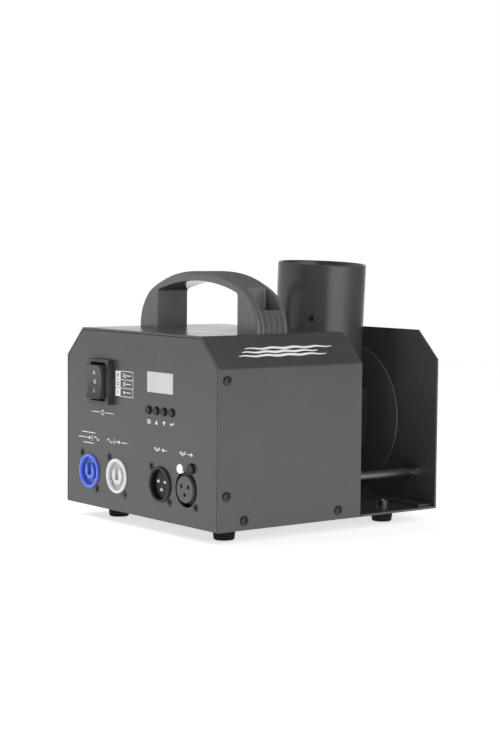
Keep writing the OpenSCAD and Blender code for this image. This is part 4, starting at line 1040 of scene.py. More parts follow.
class FOG_OT_bay(MakerOperator):
    """Make the tie rods with their threads and nuts, the pivot bolt and the tilt knob"""

    bl_idname = "fog.bay"
    bl_label = "Bay hardware"

    def make(self):
        for side in ("left", "right"):
            self.rod(f"tie_rod_{side}")
        self.nuts()
        self.bolt()
        self.knob()

    def rod(self, node):
        """A turned rod, chamfered, with a thread at each end."""
        lo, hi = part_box(node)
        radius, length = (hi.x - lo.x) / 2, hi.y - lo.y
        core = radius - 0.32 * MM
        thread_length = 15 * MM
        profile = [(0, 0), (core - 0.5 * MM, 0), (core, 0.6 * MM), (core, thread_length),
                   (radius, thread_length + 0.5 * MM),
                   (radius, length - thread_length - 0.5 * MM),
                   (core, length - thread_length), (core, length - 0.6 * MM),
                   (core - 0.5 * MM, length), (0, length)]
        start = Vector(((lo.x + hi.x) / 2, lo.y, (lo.z + hi.z) / 2))
        matrix = along((0, 1, 0), start)
        parts = [lathe(profile, 40, matrix)]
        pitch = 1.0 * MM
        turns = (thread_length - 1.2 * MM) / pitch
        parts += [thread(core, at, turns, pitch, 0.3 * MM, "rod_steel", matrix)
                  for at in (0.7 * MM, length - thread_length + 0.2 * MM)]
        add_piece(f"{node}_turned", joined(*parts), "rod_steel", "root", node, 35)

    def nuts(self):
        places = []
        for lo, hi in island_centres("tie_rod_nuts"):
            places.append((Vector(((lo.x + hi.x) / 2, lo.y, (lo.z + hi.z) / 2)), (0, 1, 0)))
            height = hi.y - lo.y
            across = min(hi.x - lo.x, hi.z - lo.z)
        set_fasteners("tie_rod_nut_set", hex_nut(across, height, 3 * MM), places, "zinc_plate",
                      "tie_rod_nuts", 3)

    def bolt(self):
        """The pivot bolt with a low domed head inside the barrel and a thread behind the plate."""
        lo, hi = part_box("pivot_bolt")
        radius = 4 * MM
        head = (hi.x - lo.x) / 2
        start = Vector((0, lo.y, PIVOT.z))
        length = hi.y - lo.y
        core = radius - 0.4 * MM
        threaded = REAR_FACE - lo.y + 0.4 * MM
        profile = [(0, 0)] + [(head * math.sin(math.radians(a)), 1.6 * MM * (1 - math.cos(math.radians(a))))
                              for a in range(15, 91, 15)]
        profile += [(head * 0.96, 2.3 * MM), (radius, 2.3 * MM), (radius, threaded),
                    (core, threaded + 0.4 * MM), (core, length - 0.8 * MM), (core - 0.6 * MM, length),
                    (0, length)]
        matrix = along((0, 1, 0), start)
        solid = [lathe(profile, 48, matrix)]
        pitch = 1.25 * MM
        turns = (length - threaded - 1.6 * MM) / pitch
        solid.append(thread(core, threaded + 0.6 * MM, turns, pitch, 0.38 * MM, "zinc_plate", matrix))
        add_piece("pivot_bolt_turned", joined(*solid), "zinc_plate", "barrel", "pivot_bolt", 35)

    def knob(self):
        """A six-lobed knob with a domed face, rounded lobes and a sunk ring round its bore."""
        lo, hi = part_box("tilt_knob")
        radius = (hi.z - lo.z) / 2
        depth = hi.y - lo.y
        collar = 2.5 * MM
        lobes, steps = 6, 120
        bm = bmesh.new()
        layers = [(collar, 0.90), (collar + 1.2 * MM, 0.985), (collar + 2.4 * MM, 1.0),
                  (depth - 3.2 * MM, 1.0), (depth - 1.4 * MM, 0.965), (depth - 0.4 * MM, 0.88), (depth, 0.74)]
        rings = []
        for z, scale in layers:
            ring = []
            for i in range(steps):
                a = 2 * math.pi * i / steps
                dip = (0.5 + 0.5 * math.cos(lobes * a)) ** 1.6
                r = radius * scale * (1 - 0.17 * dip)
                ring.append(bm.verts.new((r * math.sin(a), r * math.cos(a), z)))
            rings.append(ring)
        bore = 4.05 * MM
        for r, z in ((bore + 4.4 * MM, depth - 0.2 * MM), (bore + 4.0 * MM, depth - 1.0 * MM),
                     (bore, depth - 1.0 * MM), (bore, 0), (radius * 0.49, 0), (radius * 0.5, 0.3 * MM),
                     (radius * 0.5, collar)):
            rings.append([bm.verts.new((r * math.sin(2 * math.pi * i / steps),
                                        r * math.cos(2 * math.pi * i / steps), z)) for i in range(steps)])
        rings.append(rings[0])
        for a, b in zip(rings, rings[1:]):
            skin(bm, a, b)
        bm.transform(along((0, 1, 0), (0, lo.y, PIVOT.z)))
        add_piece("tilt_knob_moulded", bm, "black_plastic", "knob", "tilt_knob", 38)


class FOG_OT_connectors(MakerOperator):
    """Make the mains and signal connectors, the latch push and the lamp"""

    bl_idname = "fog.connectors"
    bl_label = "Connectors"

    ring = 12 * MM

    def make(self):
        self.mains("mains_inlet", "inlet_blue")
        self.mains("mains_outlet", "outlet_white")
        self.signal_inlet()
        self.signal_outlet()
        self.push_and_lamp()

    def back(self, x, z, size, depth):
        """The plate and the body behind the panel."""
        plate = prism(rounded_corners(rectangle(*size), 2 * MM), 2 * MM,
                      facing_panel(x, z, PANEL_Y + SHEET + 2 * MM))
        body = self.ring - MM
        drum = lathe([(0, 0), (body, 0), (body, depth - 0.6 * MM), (body - 0.6 * MM, depth), (0, depth)], 64,
                     facing_panel(x, z, PANEL_Y + SHEET + 2 * MM + depth))
        return [plate, drum]

    def cup(self, x, z, proud, bore, depth, lip):
        """The round front: a rim with rounded lips and a blind bore."""
        r = self.ring
        top = proud
        wall = r - bore
        profile = [(0, -depth), (bore - 0.4 * MM, -depth), (bore, -depth + 0.4 * MM)]
        profile += arc((bore + lip, top - lip), lip, 180, 90, 4)
        profile += arc((r - lip, top - lip), lip, 90, 0, 4)
        profile += [(r, -SHEET), (r, -depth - 1.5 * MM), (0, -depth - 1.5 * MM)]
        if wall < 2 * lip:
            raise ValueError("the lip is too big for the rim")
        return lathe(profile, 96, facing_panel(x, z))

    def mains(self, node, material):
        at = middle(node)
        x, z = at.x, at.z
        bore = 10 * MM
        depth = 16 * MM
        proud = PANEL_Y - low(node).y
        cup = self.cup(x, z, proud, bore, depth, 0.7 * MM)
        core_r = 6 * MM
        core = lathe([(0, -depth), (core_r, -depth), (core_r, proud - 1.6 * MM),
                      (core_r - 0.6 * MM, proud - MM), (0, proud - MM)], 64, facing_panel(x, z))
        w, foot = 2.5 * MM, 3 * MM
        slot_cut = prism(rounded_corners([(-w, -foot), (w, -foot), (w, core_r + 3 * MM),
                                          (-w, core_r + 3 * MM)], 1.2 * MM),
                         depth, facing_panel(x, z, PANEL_Y + depth - 2 * MM))
        core = carve(core, slot_cut)
        keys = []
        for angle, width in ((90, 3.0), (210, 2.0), (330, 2.0)):
            a = math.radians(angle)
            size = (1.5 * MM, width * MM, depth - 0.5 * MM)
            bar = block(size, (0, 0, 0))
            bar.transform(facing_panel(x, z) @ Matrix.Rotation(a, 4, "Z")
                          @ Matrix.Translation((bore - 0.6 * MM, 0, -depth / 2)))
            keys.append(bar)
        whole = joined(cup, core, *keys, *self.back(x, z, (26 * MM, 31 * MM), 20 * MM))
        add_piece(f"{node}_moulded", whole, material, "root", node, 35)

    def signal_inlet(self):
        node = "dmx_in_shell"
        at = middle(node)
        proud = PANEL_Y - low(node).y
        cup = self.cup(at.x, at.z, proud, 10.1 * MM, 12 * MM, 0.7 * MM)
        key = block((2.2 * MM, 1.2 * MM, 9 * MM), (0, 0, 0))
        key.transform(facing_panel(at.x, at.z) @ Matrix.Translation((0, 9.7 * MM, -6 * MM)))
        whole = joined(cup, key, *self.back(at.x, at.z, (28 * MM, 27 * MM), 18 * MM))
        add_piece("signal_inlet_shell", whole, "socket_plastic", "root", node, 35)
        parts = []
        for lo, hi in island_centres("dmx_in_pins"):
            r = (hi.x - lo.x) / 2
            length = hi.y - lo.y
            profile = [(0, 0)] + [(r * math.sin(math.radians(a)), r * (1 - math.cos(math.radians(a))))
                                  for a in range(15, 91, 15)] + [(r, length), (0, length)]
            parts.append(lathe(profile, 24, along((0, 1, 0), ((lo.x + hi.x) / 2, lo.y, (lo.z + hi.z) / 2))))
        add_piece("signal_inlet_pins", joined(*parts), "plated_pin", "root", "dmx_in_pins")

    def signal_outlet(self):
        at = middle("dmx_out_insert")
        proud = PANEL_Y - low("dmx_out_shell").y
        cup = self.cup(at.x, at.z, proud, 10.1 * MM, 12 * MM, 0.7 * MM)
        plates = self.back(at.x, at.z, (28 * MM, 27 * MM), 18 * MM)
        upper = prism(rounded_corners(rectangle(28 * MM, 14 * MM), 2 * MM), 2 * MM,
                      facing_panel(at.x, at.z + 13 * MM, PANEL_Y + SHEET + 2 * MM))
        whole = carve(joined(cup, *plates), self.plug("dmx_out_latch", 0.4 * MM), self.plug("signal_lamp", 0))
        upper = carve(upper, self.plug("dmx_out_latch", 0.4 * MM), self.plug("signal_lamp", 0))
        add_piece("signal_outlet_shell", joined(whole, upper), "socket_plastic", "root",
                  "dmx_out_shell", 35)
        softened("dmx_out_insert", "insert_grey", width=0.35 * MM)

    def plug(self, node, gap):
        """A cutter for the hole round a push or a lamp."""
        at = middle(node)
        r = 3.2 * MM + gap
        return pin(r, -12 * MM, 6 * MM, 48, facing_panel(at.x, at.z))

    def push_and_lamp(self):
        at = middle("dmx_out_latch")
        proud = PANEL_Y - low("dmx_out_latch").y
        deep = high("dmx_out_latch").y - PANEL_Y
        r = 3.2 * MM
        profile = [(0, proud - 0.35 * MM), (r * 0.55, proud - 0.2 * MM), (r - 0.7 * MM, proud)]
        profile += arc((r - 0.5 * MM, proud - 0.5 * MM), 0.5 * MM, 90, 0, 4)
        profile += [(r, -4 * MM), (r + 1.2 * MM, -4 * MM), (r + 1.2 * MM, -5.2 * MM), (1.5 * MM, -5.2 * MM),
                    (1.5 * MM, -deep), (0, -deep)]
        add_piece("latch_push", lathe(profile, 48, facing_panel(at.x, at.z)), "black_plastic", "latch",
                  "dmx_out_latch", 40)
        at = middle("signal_lamp")
        proud = PANEL_Y - low("signal_lamp").y
        profile = [(0, proud)]
        profile += [(r * math.sin(math.radians(a)), proud * math.cos(math.radians(a)))
                    for a in range(10, 81, 10)]
        profile += [(r, 0), (r, -6 * MM), (0, -6 * MM)]
        add_piece("signal_lamp_lens", lathe(profile, 48, facing_panel(at.x, at.z)), "lamp_lens", "root",
                  "signal_lamp", 40)


class FOG_OT_controls(MakerOperator):
    """Make the rocker switch, the display and the four buttons"""

    bl_idname = "fog.controls"
    bl_label = "Switch, display and buttons"

    def make(self):
        softened("switch_bezel", "switch_plastic", width=0.7 * MM, steps=3, angle=60)
        softened("switch_rocker", "switch_plastic", "rocker", 0.45 * MM, 3, 50)
        self.rocker_marks()
        self.display()
        for name in ("menu", "up", "down", "enter"):
            self.button(name)

    def rocker_marks(self):
        """The position marks, moulded in on the hollow face: two bars, a ring and one bar."""
        centre = middle("switch_rocker")
        front = low("switch_rocker").y
        hollow = 30 * MM
        edge = max(v.co.z for v in frame["nodes"]["switch_rocker"].data.vertices
                   if v.co.y < front + 0.1 * MM) - centre.z
        bottom = front + hollow - math.sqrt(hollow ** 2 - edge ** 2)
        parts = []

        def face_y(dz):
            return bottom - (hollow - math.sqrt(hollow ** 2 - dz * dz))

        for dz, kind in ((6.2 * MM, "two"), (0, "ring"), (-6.2 * MM, "one")):
            y = face_y(dz) - 0.05 * MM
            slope = math.atan2(dz, math.sqrt(hollow ** 2 - dz * dz))
            matrix = facing_panel(centre.x, centre.z + dz, y) @ Matrix.Rotation(slope, 4, "X")
            if kind == "ring":
                parts.append(lathe([(1.0 * MM, -0.2 * MM), (1.4 * MM, -0.2 * MM), (1.4 * MM, 0.05 * MM),
                                    (1.0 * MM, 0.05 * MM)], 36, matrix))
                continue
            for dx in ((-0.7 * MM, 0.7 * MM) if kind == "two" else (0,)):
                bar = block((0.5 * MM, 2.6 * MM, 0.25 * MM), (dx, 0, -0.075 * MM))
                bar.transform(matrix)
                parts.append(bar)
        add_piece("rocker_marks", joined(*parts), "screen_print", "rocker")

    def display(self):
        """The pale window and four faint digits on it."""
        softened("display_window", "display_window", width=0.3 * MM, steps=3)
        lo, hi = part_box("display_window")
        width, height = hi.x - lo.x, hi.z - lo.z
        y = lo.y - 0.02 * MM
        digit_w, digit_h, line = width * 0.125, height * 0.56, 0.85 * MM
        parts = []
        for i in range(4):
            cx = lo.x + width * (0.17 + 0.22 * i)
            cz = (lo.z + hi.z) / 2
            slant = 0.12
            for dx, dz, across in ((0, 1, True), (0, 0, True), (0, -1, True),
                                   (-1, 0.5, False), (1, 0.5, False), (-1, -0.5, False), (1, -0.5, False)):
                length = (digit_w if across else digit_h / 2) - line * 1.15
                h = line / 2
                outline = [(-length / 2, 0), (-length / 2 + h, -h), (length / 2 - h, -h), (length / 2, 0),
                           (length / 2 - h, h), (-length / 2 + h, h)]
                x0 = dx * digit_w / 2
                z0 = dz * digit_h / 2
                turn = Matrix.Identity(4) if across else Matrix.Rotation(math.pi / 2, 4, "Z")
                shear = Matrix.Identity(4)
                shear[0][1] = slant
                matrix = facing_panel(cx, cz, y) @ shear @ Matrix.Translation((x0, z0, 0)) @ turn
                parts.append(prism(outline, 0.05 * MM, matrix))
        add_piece("display_digits", joined(*parts), "display_digits", "root")

    def button(self, name):
        """A round cap with a dished top and a soft edge, on its stem."""
        node = f"{name}_button"
        lo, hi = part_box(node)
        at = middle(node)
        proud = PANEL_Y - lo.y
        deep = hi.y - PANEL_Y
        r = 2.6 * MM
        flange = 3.6 * MM
        profile = [(0, proud - 0.28 * MM), (r * 0.45, proud - 0.2 * MM), (r * 0.72, proud - 0.04 * MM)]
        profile += arc((r - 0.55 * MM, proud - 0.55 * MM), 0.55 * MM, 90, 0, 5)
        profile += [(r, -2.1 * MM), (flange, -2.1 * MM), (flange, -3.1 * MM), (1.4 * MM, -3.1 * MM),
                    (1.4 * MM, -deep), (0, -deep)]
        add_piece(f"{node}_cap", lathe(profile, 40, facing_panel(at.x, at.z)), "black_plastic",
                  f"button_{name}", node, 40)


class FOG_OT_marks(MakerOperator):
    """Make the screen print on the panel and the ornament on the slope"""

    bl_idname = "fog.marks"
    bl_label = "Print"

    def make(self):
        s = settings().marks
        self.ink = s.thickness
        self.line = s.line
        self.panel_marks()
        self.switch_table()
        self.ornament(s)

    def plate(self, outline, x, z):
        return prism(outline, self.ink, facing_panel(x, z))

    def bar(self, x, z, width, height, turn=0.0):
        return prism(rectangle(width, height), self.ink, facing_panel(x, z) @ Matrix.Rotation(turn, 4, "Z"))

    def triangle(self, x, z, size, turn):
        """A solid triangle that points along turn, in degrees from +X."""
        outline = [(size * math.cos(math.radians(turn + a)), size * math.sin(math.radians(turn + a)))
                   for a in (0, 120, 240)]
        return self.plate(outline, x, z)

    def ring(self, x, z, radius):
        half = self.line / 2
        return lathe([(radius - half, 0), (radius + half, 0), (radius + half, self.ink),
                      (radius - half, self.ink)], 36, facing_panel(x, z))

    def arrow(self, x, z, length, turn):
        """A shaft and a head, pointing along turn in degrees."""
        a = math.radians(turn)
        shaft = self.bar(x - 0.2 * length * math.cos(a), z - 0.2 * length * math.sin(a),
                         length * 0.6, self.line, a)
        head = self.triangle(x + 0.25 * length * math.cos(a), z + 0.25 * length * math.sin(a),
                             length * 0.26, turn)
        return [shaft, head]

    def wave(self, x, z, length, height, waves=1.0):
        """A wavy stroke, as an outline either side of a sine."""
        steps = int(16 * waves)
        run = []
        for i in range(steps + 1):
            t = i / steps
            slope = 2 * math.pi * waves / length * height * math.cos(2 * math.pi * waves * t)
            n = Vector((-slope, 1)).normalized() * self.line / 2
            p = Vector(((t - 0.5) * length, height * math.sin(2 * math.pi * waves * t)))
            run.append((p + n, p - n))
        outline = [tuple(b) for _, b in run] + [tuple(a) for a, _ in reversed(run)]
        return self.plate(outline, x, z)

    def panel_marks(self):
        """Pictograms where the machine's functions need a mark."""
        parts = []
        switch = middle("switch_bezel")
        under = low("switch_bezel").z - 6.3 * MM
        parts += [self.ring(switch.x, under, 1.6 * MM),
                  self.bar(switch.x, under + 1.3 * MM, self.line, 1.9 * MM)]
        for side in (-1, 1):
            parts.append(self.bar(switch.x + side * 7.5 * MM, under, 7.5 * MM, self.line))
            parts.append(self.bar(switch.x + side * 13 * MM, under, 1.2 * MM, self.line * 1.6))
        below = low("menu_button").z - 4.2 * MM
        menu, up, down, enter = (middle(f"{n}_button").x for n in ("menu", "up", "down", "enter"))
        for k in (-1, 0, 1):
            parts.append(self.bar(menu, below + k * 1.1 * MM, 4.2 * MM, self.line))
        parts += [self.triangle(up, below - 0.3 * MM, 1.9 * MM, 90),
                  self.triangle(down, below + 0.3 * MM, 1.9 * MM, 270)]
        parts += self.arrow(enter, below, 4.6 * MM, 180)
        parts.append(self.bar(enter + 1.9 * MM, below + 0.9 * MM, self.line, 1.8 * MM))
        inlet, outlet = middle("mains_inlet"), middle("mains_outlet")
        level = inlet.z + 23.4 * MM
        parts += self.arrow(inlet.x - 1.5 * MM, level, 6 * MM, 0)
        parts += [self.bar(inlet.x + 3 * MM, level, self.line, 4 * MM)]
        parts.append(self.wave(inlet.x + 9 * MM, level, 7 * MM, 1.2 * MM))
        parts.append(self.bar(inlet.x - 10 * MM, level, 9 * MM, self.line))
        for k, width in ((1, 17), (-1, 13)):
            parts.append(self.bar(inlet.x - 1.5 * MM, level + k * 3.7 * MM, width * MM, self.line))
        parts += self.arrow(outlet.x + 1 * MM, level, 6 * MM, 0)
        parts.append(self.bar(outlet.x - 3.5 * MM, level, self.line, 4 * MM))
        parts.append(self.wave(outlet.x - 9 * MM, level, 7 * MM, 1.2 * MM))
        parts.append(self.bar(outlet.x + 8.5 * MM, level, 7 * MM, self.line))
        for node, turn in (("dmx_in_shell", 0), ("dmx_out_insert", 180)):
            at = middle(node)
            for k in (-1, 0, 1):
                drop = 1.0 * MM if k == 0 else 0
                parts.append(self.ring(at.x + k * 2.2 * MM - 4 * MM, level - drop, 0.75 * MM))
            parts += self.arrow(at.x + 4.2 * MM, level - 0.4 * MM, 6.2 * MM, 180 - turn)
        add_piece("panel_print", joined(*parts), "screen_print", "root")

    def switch_table(self):
        """The small table beside the switch: white signs column, outlined cells."""
        bezel_edge = high("switch_bezel").x
        left = bezel_edge + 3.2 * MM
        right = left + 21 * MM
        split = left + 6 * MM
        low_z = middle("switch_bezel").z - 8.9 * MM
        high_z = low_z + 17.3 * MM
        row = (high_z - low_z) / 3
        thin = 0.4 * MM
        light, dark = [], []
        light.append(self.bar((left + split) / 2, (low_z + high_z) / 2, split - left, high_z - low_z))
        for k in range(4):
            light.append(self.bar((split + right) / 2, low_z + k * row, right - split, thin))
        light.append(self.bar(right, (low_z + high_z) / 2, thin, high_z - low_z + thin))
        centre = (split + right) / 2
        rows = [low_z + row * (k + 0.5) for k in range(3)]
        sign, stroke = centre - 3 * MM, centre + 2 * MM
        light += [self.triangle(sign, rows[0], 1.5 * MM, 0), self.bar(stroke, rows[0], 6 * MM, self.line),
                  self.ring(sign, rows[1], 1.2 * MM), self.bar(stroke, rows[1], 6 * MM, self.line),
                  self.wave(sign, rows[2] + 0.8 * MM, 4 * MM, 0.5 * MM),
                  self.wave(sign, rows[2] - 0.8 * MM, 4 * MM, 0.5 * MM),
                  self.bar(stroke, rows[2], 6 * MM, self.line)]
        add_piece("switch_table_print", joined(*light), "screen_print", "root")
        lift = Matrix.Translation((0, -self.ink, 0))
        column = (left + split) / 2
        dark += [self.bar(column, rows[0], 0.6 * MM, 2.8 * MM), self.ring(column, rows[1], 1.3 * MM),
                 self.bar(column - 0.8 * MM, rows[2], 0.6 * MM, 2.8 * MM),
                 self.bar(column + 0.8 * MM, rows[2], 0.6 * MM, 2.8 * MM)]
        for k in (1, 2):
            dark.append(self.bar(column, low_z + k * row, split - left, 0.25 * MM))
        signs = joined(*dark)
        signs.transform(lift)
        add_piece("switch_table_signs", signs, "dark_ink", "root")

    def ornament(self, s):
        """Drifting fog on the slope: rows of tapering wavy strokes."""
        slope_mid = Vector((HALF_W - CHAMFER / 2 + 0.7 * MM, (PANEL_Y + BOX_END) / 2 + 1.5 * MM,
                            TOP_Z - CHAMFER / 2 - 0.7 * MM))
        out = Vector((1, 0, 1)).normalized()
        up = Vector((-1, 0, 1)).normalized()
        run = Vector((0, 1, 0))
        matrix = Matrix.Translation(slope_mid) @ Matrix((run, up, out)).transposed().to_4x4()
        parts = []
        rows = 3
        pitch = s.band_height / rows
        for k in range(rows):
            level = pitch * (k - (rows - 1) / 2)
            start = -s.band_length / 2 + 0.05 * k * s.band_length
            length = s.band_length * (0.9 - 0.12 * (k % 2))
            parts.append(self.stroke(start, length, level, matrix, 4, pitch * 0.62))
        add_piece("slope_ornament", joined(*parts), "screen_print", "root")

    def stroke(self, start, length, level, matrix, waves, width):
        """A wavy stroke that is full in the middle and thin at both ends."""
        steps = waves * 14
        above, below = [], []
        for i in range(steps + 1):
            t = i / steps
            x = start + length * t
            y = level + 0.42 * MM * math.sin(2 * math.pi * waves * t)
            half = width / 2 * (0.18 + 0.82 * math.sin(math.pi * t) ** 0.6)
            above.append((x, y + half))
            below.append((x, y - half))
        return prism(below + list(reversed(above)), self.ink, matrix)


class FOG_OT_fasteners(MakerOperator):
    """Make the screws of the case, the connectors, the barrel and the handle, and the feet's bolts"""

    bl_idname = "fog.fasteners"
    bl_label = "Fasteners"

    def make(self):
        places = []
        for lo, hi in island_centres("case_screws"):
            mid = (lo + hi) / 2
            if hi.z < FLOOR_Z + 8 * MM and hi.x - lo.x > 6 * MM and hi.z - lo.z > 7 * MM:
                places.append((Vector((mid.x, mid.y, FLOOR_Z)), (0, 0, -1)))
            else:
                side = math.copysign(1, mid.x)
                places.append((Vector((side * HALF_W, mid.y, mid.z)), (side, 0, 0)))
        set_fasteners("case_screw_set", pan_screw(3.2 * MM, 1.8 * MM, 1.5 * MM, 3.8 * MM), places,
                      "black_screws", "case_screws", 11)
        places = [(Vector(((lo.x + hi.x) / 2, PANEL_Y, (lo.z + hi.z) / 2)), (0, -1, 0))
                  for lo, hi in island_centres("connector_screws")]
        set_fasteners("connector_screw_set", flush_screw(2.9 * MM, 1.5 * MM, 1.5 * MM, 7 * MM), places,
                      "black_screws", "connector_screws", 5)
        places = []
        for lo, hi in island_centres("guard_screws"):
            mid = (lo + hi) / 2
            height = (mid - PIVOT).dot(BARREL_UP)
            foot = PIVOT + BARREL_UP * height
            aim = (mid - foot).normalized()
            places.append((foot + aim * BARREL_R, aim))
        set_fasteners("guard_screw_set", pan_screw(2.3 * MM, 1.2 * MM, 1.25 * MM, 3.5 * MM), places,
                      "black_screws", "guard_screws", 2, "barrel")
        self.handle_fixings()
        self.foot_fixings()

    def handle_fixings(self):
        s = settings().handle
        floor_z = TOP_Z + s.pocket_mouth - s.pocket_depth
        screws = [i for i in island_centres("handle_screws") if i[1].z > floor_z]
        nuts = [i for i in island_centres("handle_screws") if i[1].z <= floor_z]
        parts = []
        for lo, hi in screws:
            mid = (lo + hi) / 2
            part = pan_screw(4.6 * MM, 3 * MM, 2.5 * MM, floor_z - lo.z)
            part.transform(Matrix.Translation((mid.x, mid.y, floor_z)))
            parts.append(part)
        for lo, hi in nuts:
            part = hex_nut(8 * MM, 4 * MM, 2.5 * MM)
            part.transform(Matrix.Translation(((lo.x + hi.x) / 2, (lo.y + hi.y) / 2, TOP_Z - SHEET - 4 * MM)))
            parts.append(part)
        add_piece("handle_screw_set", joined(*parts), "zinc_plate", node="handle_screws")

    def foot_fixings(self):
        lo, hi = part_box("foot_bolts")
        inset = 3.6 * MM
        places = []
        for foot_lo, foot_hi in island_centres("feet"):
            places.append((foot_lo + foot_hi) / 2)
        bolts = [(Vector((p.x, p.y, lo.z + 2.2 * MM)), (0, 0, -1)) for p in places]
        nuts = [(Vector((p.x, p.y, FLOOR_Z + SHEET)), (0, 0, 1)) for p in places]
        set_fasteners("foot_bolt_set", pan_screw(inset, 2.2 * MM, 2 * MM, hi.z - lo.z - 2.2 * MM), bolts,
                      "zinc_plate", "foot_bolts", 4)
        set_fasteners("foot_nut_set", hex_nut(6.8 * MM, 3.2 * MM, 2 * MM), nuts, "zinc_plate", seed=9)


class FOG_OT_feet(MakerOperator):
    """Make the rubber feet"""

    bl_idname = "fog.feet"
    bl_label = "Feet"

    def make(self):
        parts = []
        for lo, hi in island_centres("feet"):
            r = (hi.x - lo.x) / 2
            height = hi.z - lo.z
            foot = r - 1 * MM
            bore, seat = 2 * MM, 4 * MM
            profile = [(seat, 0.3 * MM), (seat + 0.3 * MM, 0)]
            profile += arc((foot - 1.0 * MM, 1.0 * MM), 1.0 * MM, -90, 0, 5)
            profile += [(foot + 0.55 * MM, height * 0.55), (r - 0.05 * MM, height - 1.2 * MM)]
            profile += arc((r - 0.5 * MM, height - 0.5 * MM), 0.5 * MM, 0, 90, 3)
            profile += [(bore, height), (bore, height / 2), (seat, height / 2)]
            centre = (lo + hi) / 2
            parts.append(lathe(profile, 56, Matrix.Translation((centre.x, centre.y, lo.z))))
        add_piece("rubber_feet", joined(*parts), "rubber", "root", "feet", 45)


class FOG_OT_works(MakerOperator):
    """Make the tank's cap and the pump's spring, and finish every piece inside the case"""

    bl_idname = "fog.works"
    bl_label = "Tank, pump and electronics"

    def make(self):
        self.cap()
        self.spring()
        for node, look in INSIDE.items():
            shown = frame["nodes"][node]
            shown.data.materials.clear()
            shown.data.materials.append(finish(look))

    def cap(self):
        """The filler cap, with a domed top and ribs for the fingers."""
        axis = Vector(JOINTS["cap_off"]["axis"]).normalized()
        centre = middle("tank_cap")
        foot = Vector((-(HALF_W - CHAMFER / 2), centre.y, TOP_Z - CHAMFER / 2))
        matrix = along(axis, foot)
        r, height, skirt, bore = 8.25 * MM, 6 * MM, 0.4 * MM, 7.05 * MM
        profile = [(0, height), (r - 1.6 * MM, height)]
        profile += arc((r - 0.9 * MM, height - 0.9 * MM), 0.9 * MM, 90, 0, 5)
        profile += [(r, skirt), (bore, skirt), (bore, 4.9 * MM), (0, 4.9 * MM)]
        ribs = run_tree(ribs_tree(), {"Radius": r, "Count": 28, "Rib": (0.7 * MM, 0.75 * MM, 3.8 * MM),
                                      "Finish": "black_plastic"})
        ribs.transform(Matrix.Translation((0, 0, skirt + 2.0 * MM)))
        solid = joined(lathe(profile, 64), ribs)
        solid.transform(matrix)
        add_piece("filler_cap", solid, "black_plastic", "cap", "tank_cap", 40)

    def spring(self):
        lo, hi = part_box("pump_spring")
        wire = 0.45 * MM
        radius = (hi.x - lo.x) / 2 - wire
        length = hi.y - lo.y - 2 * wire
        coil = run_tree(helix_tree(), {"Radius": radius, "Turns": 6.0, "Length": length, "Wire": wire,
                                       "Steps": 28, "Wire sides": 10, "Finish": "zinc_plate"})
        centre = (lo + hi) / 2
        coil.transform(along((0, 1, 0), (centre.x, lo.y + wire, centre.z)))
        add_piece("pump_spring_coil", coil, "zinc_plate", "root", "pump_spring")


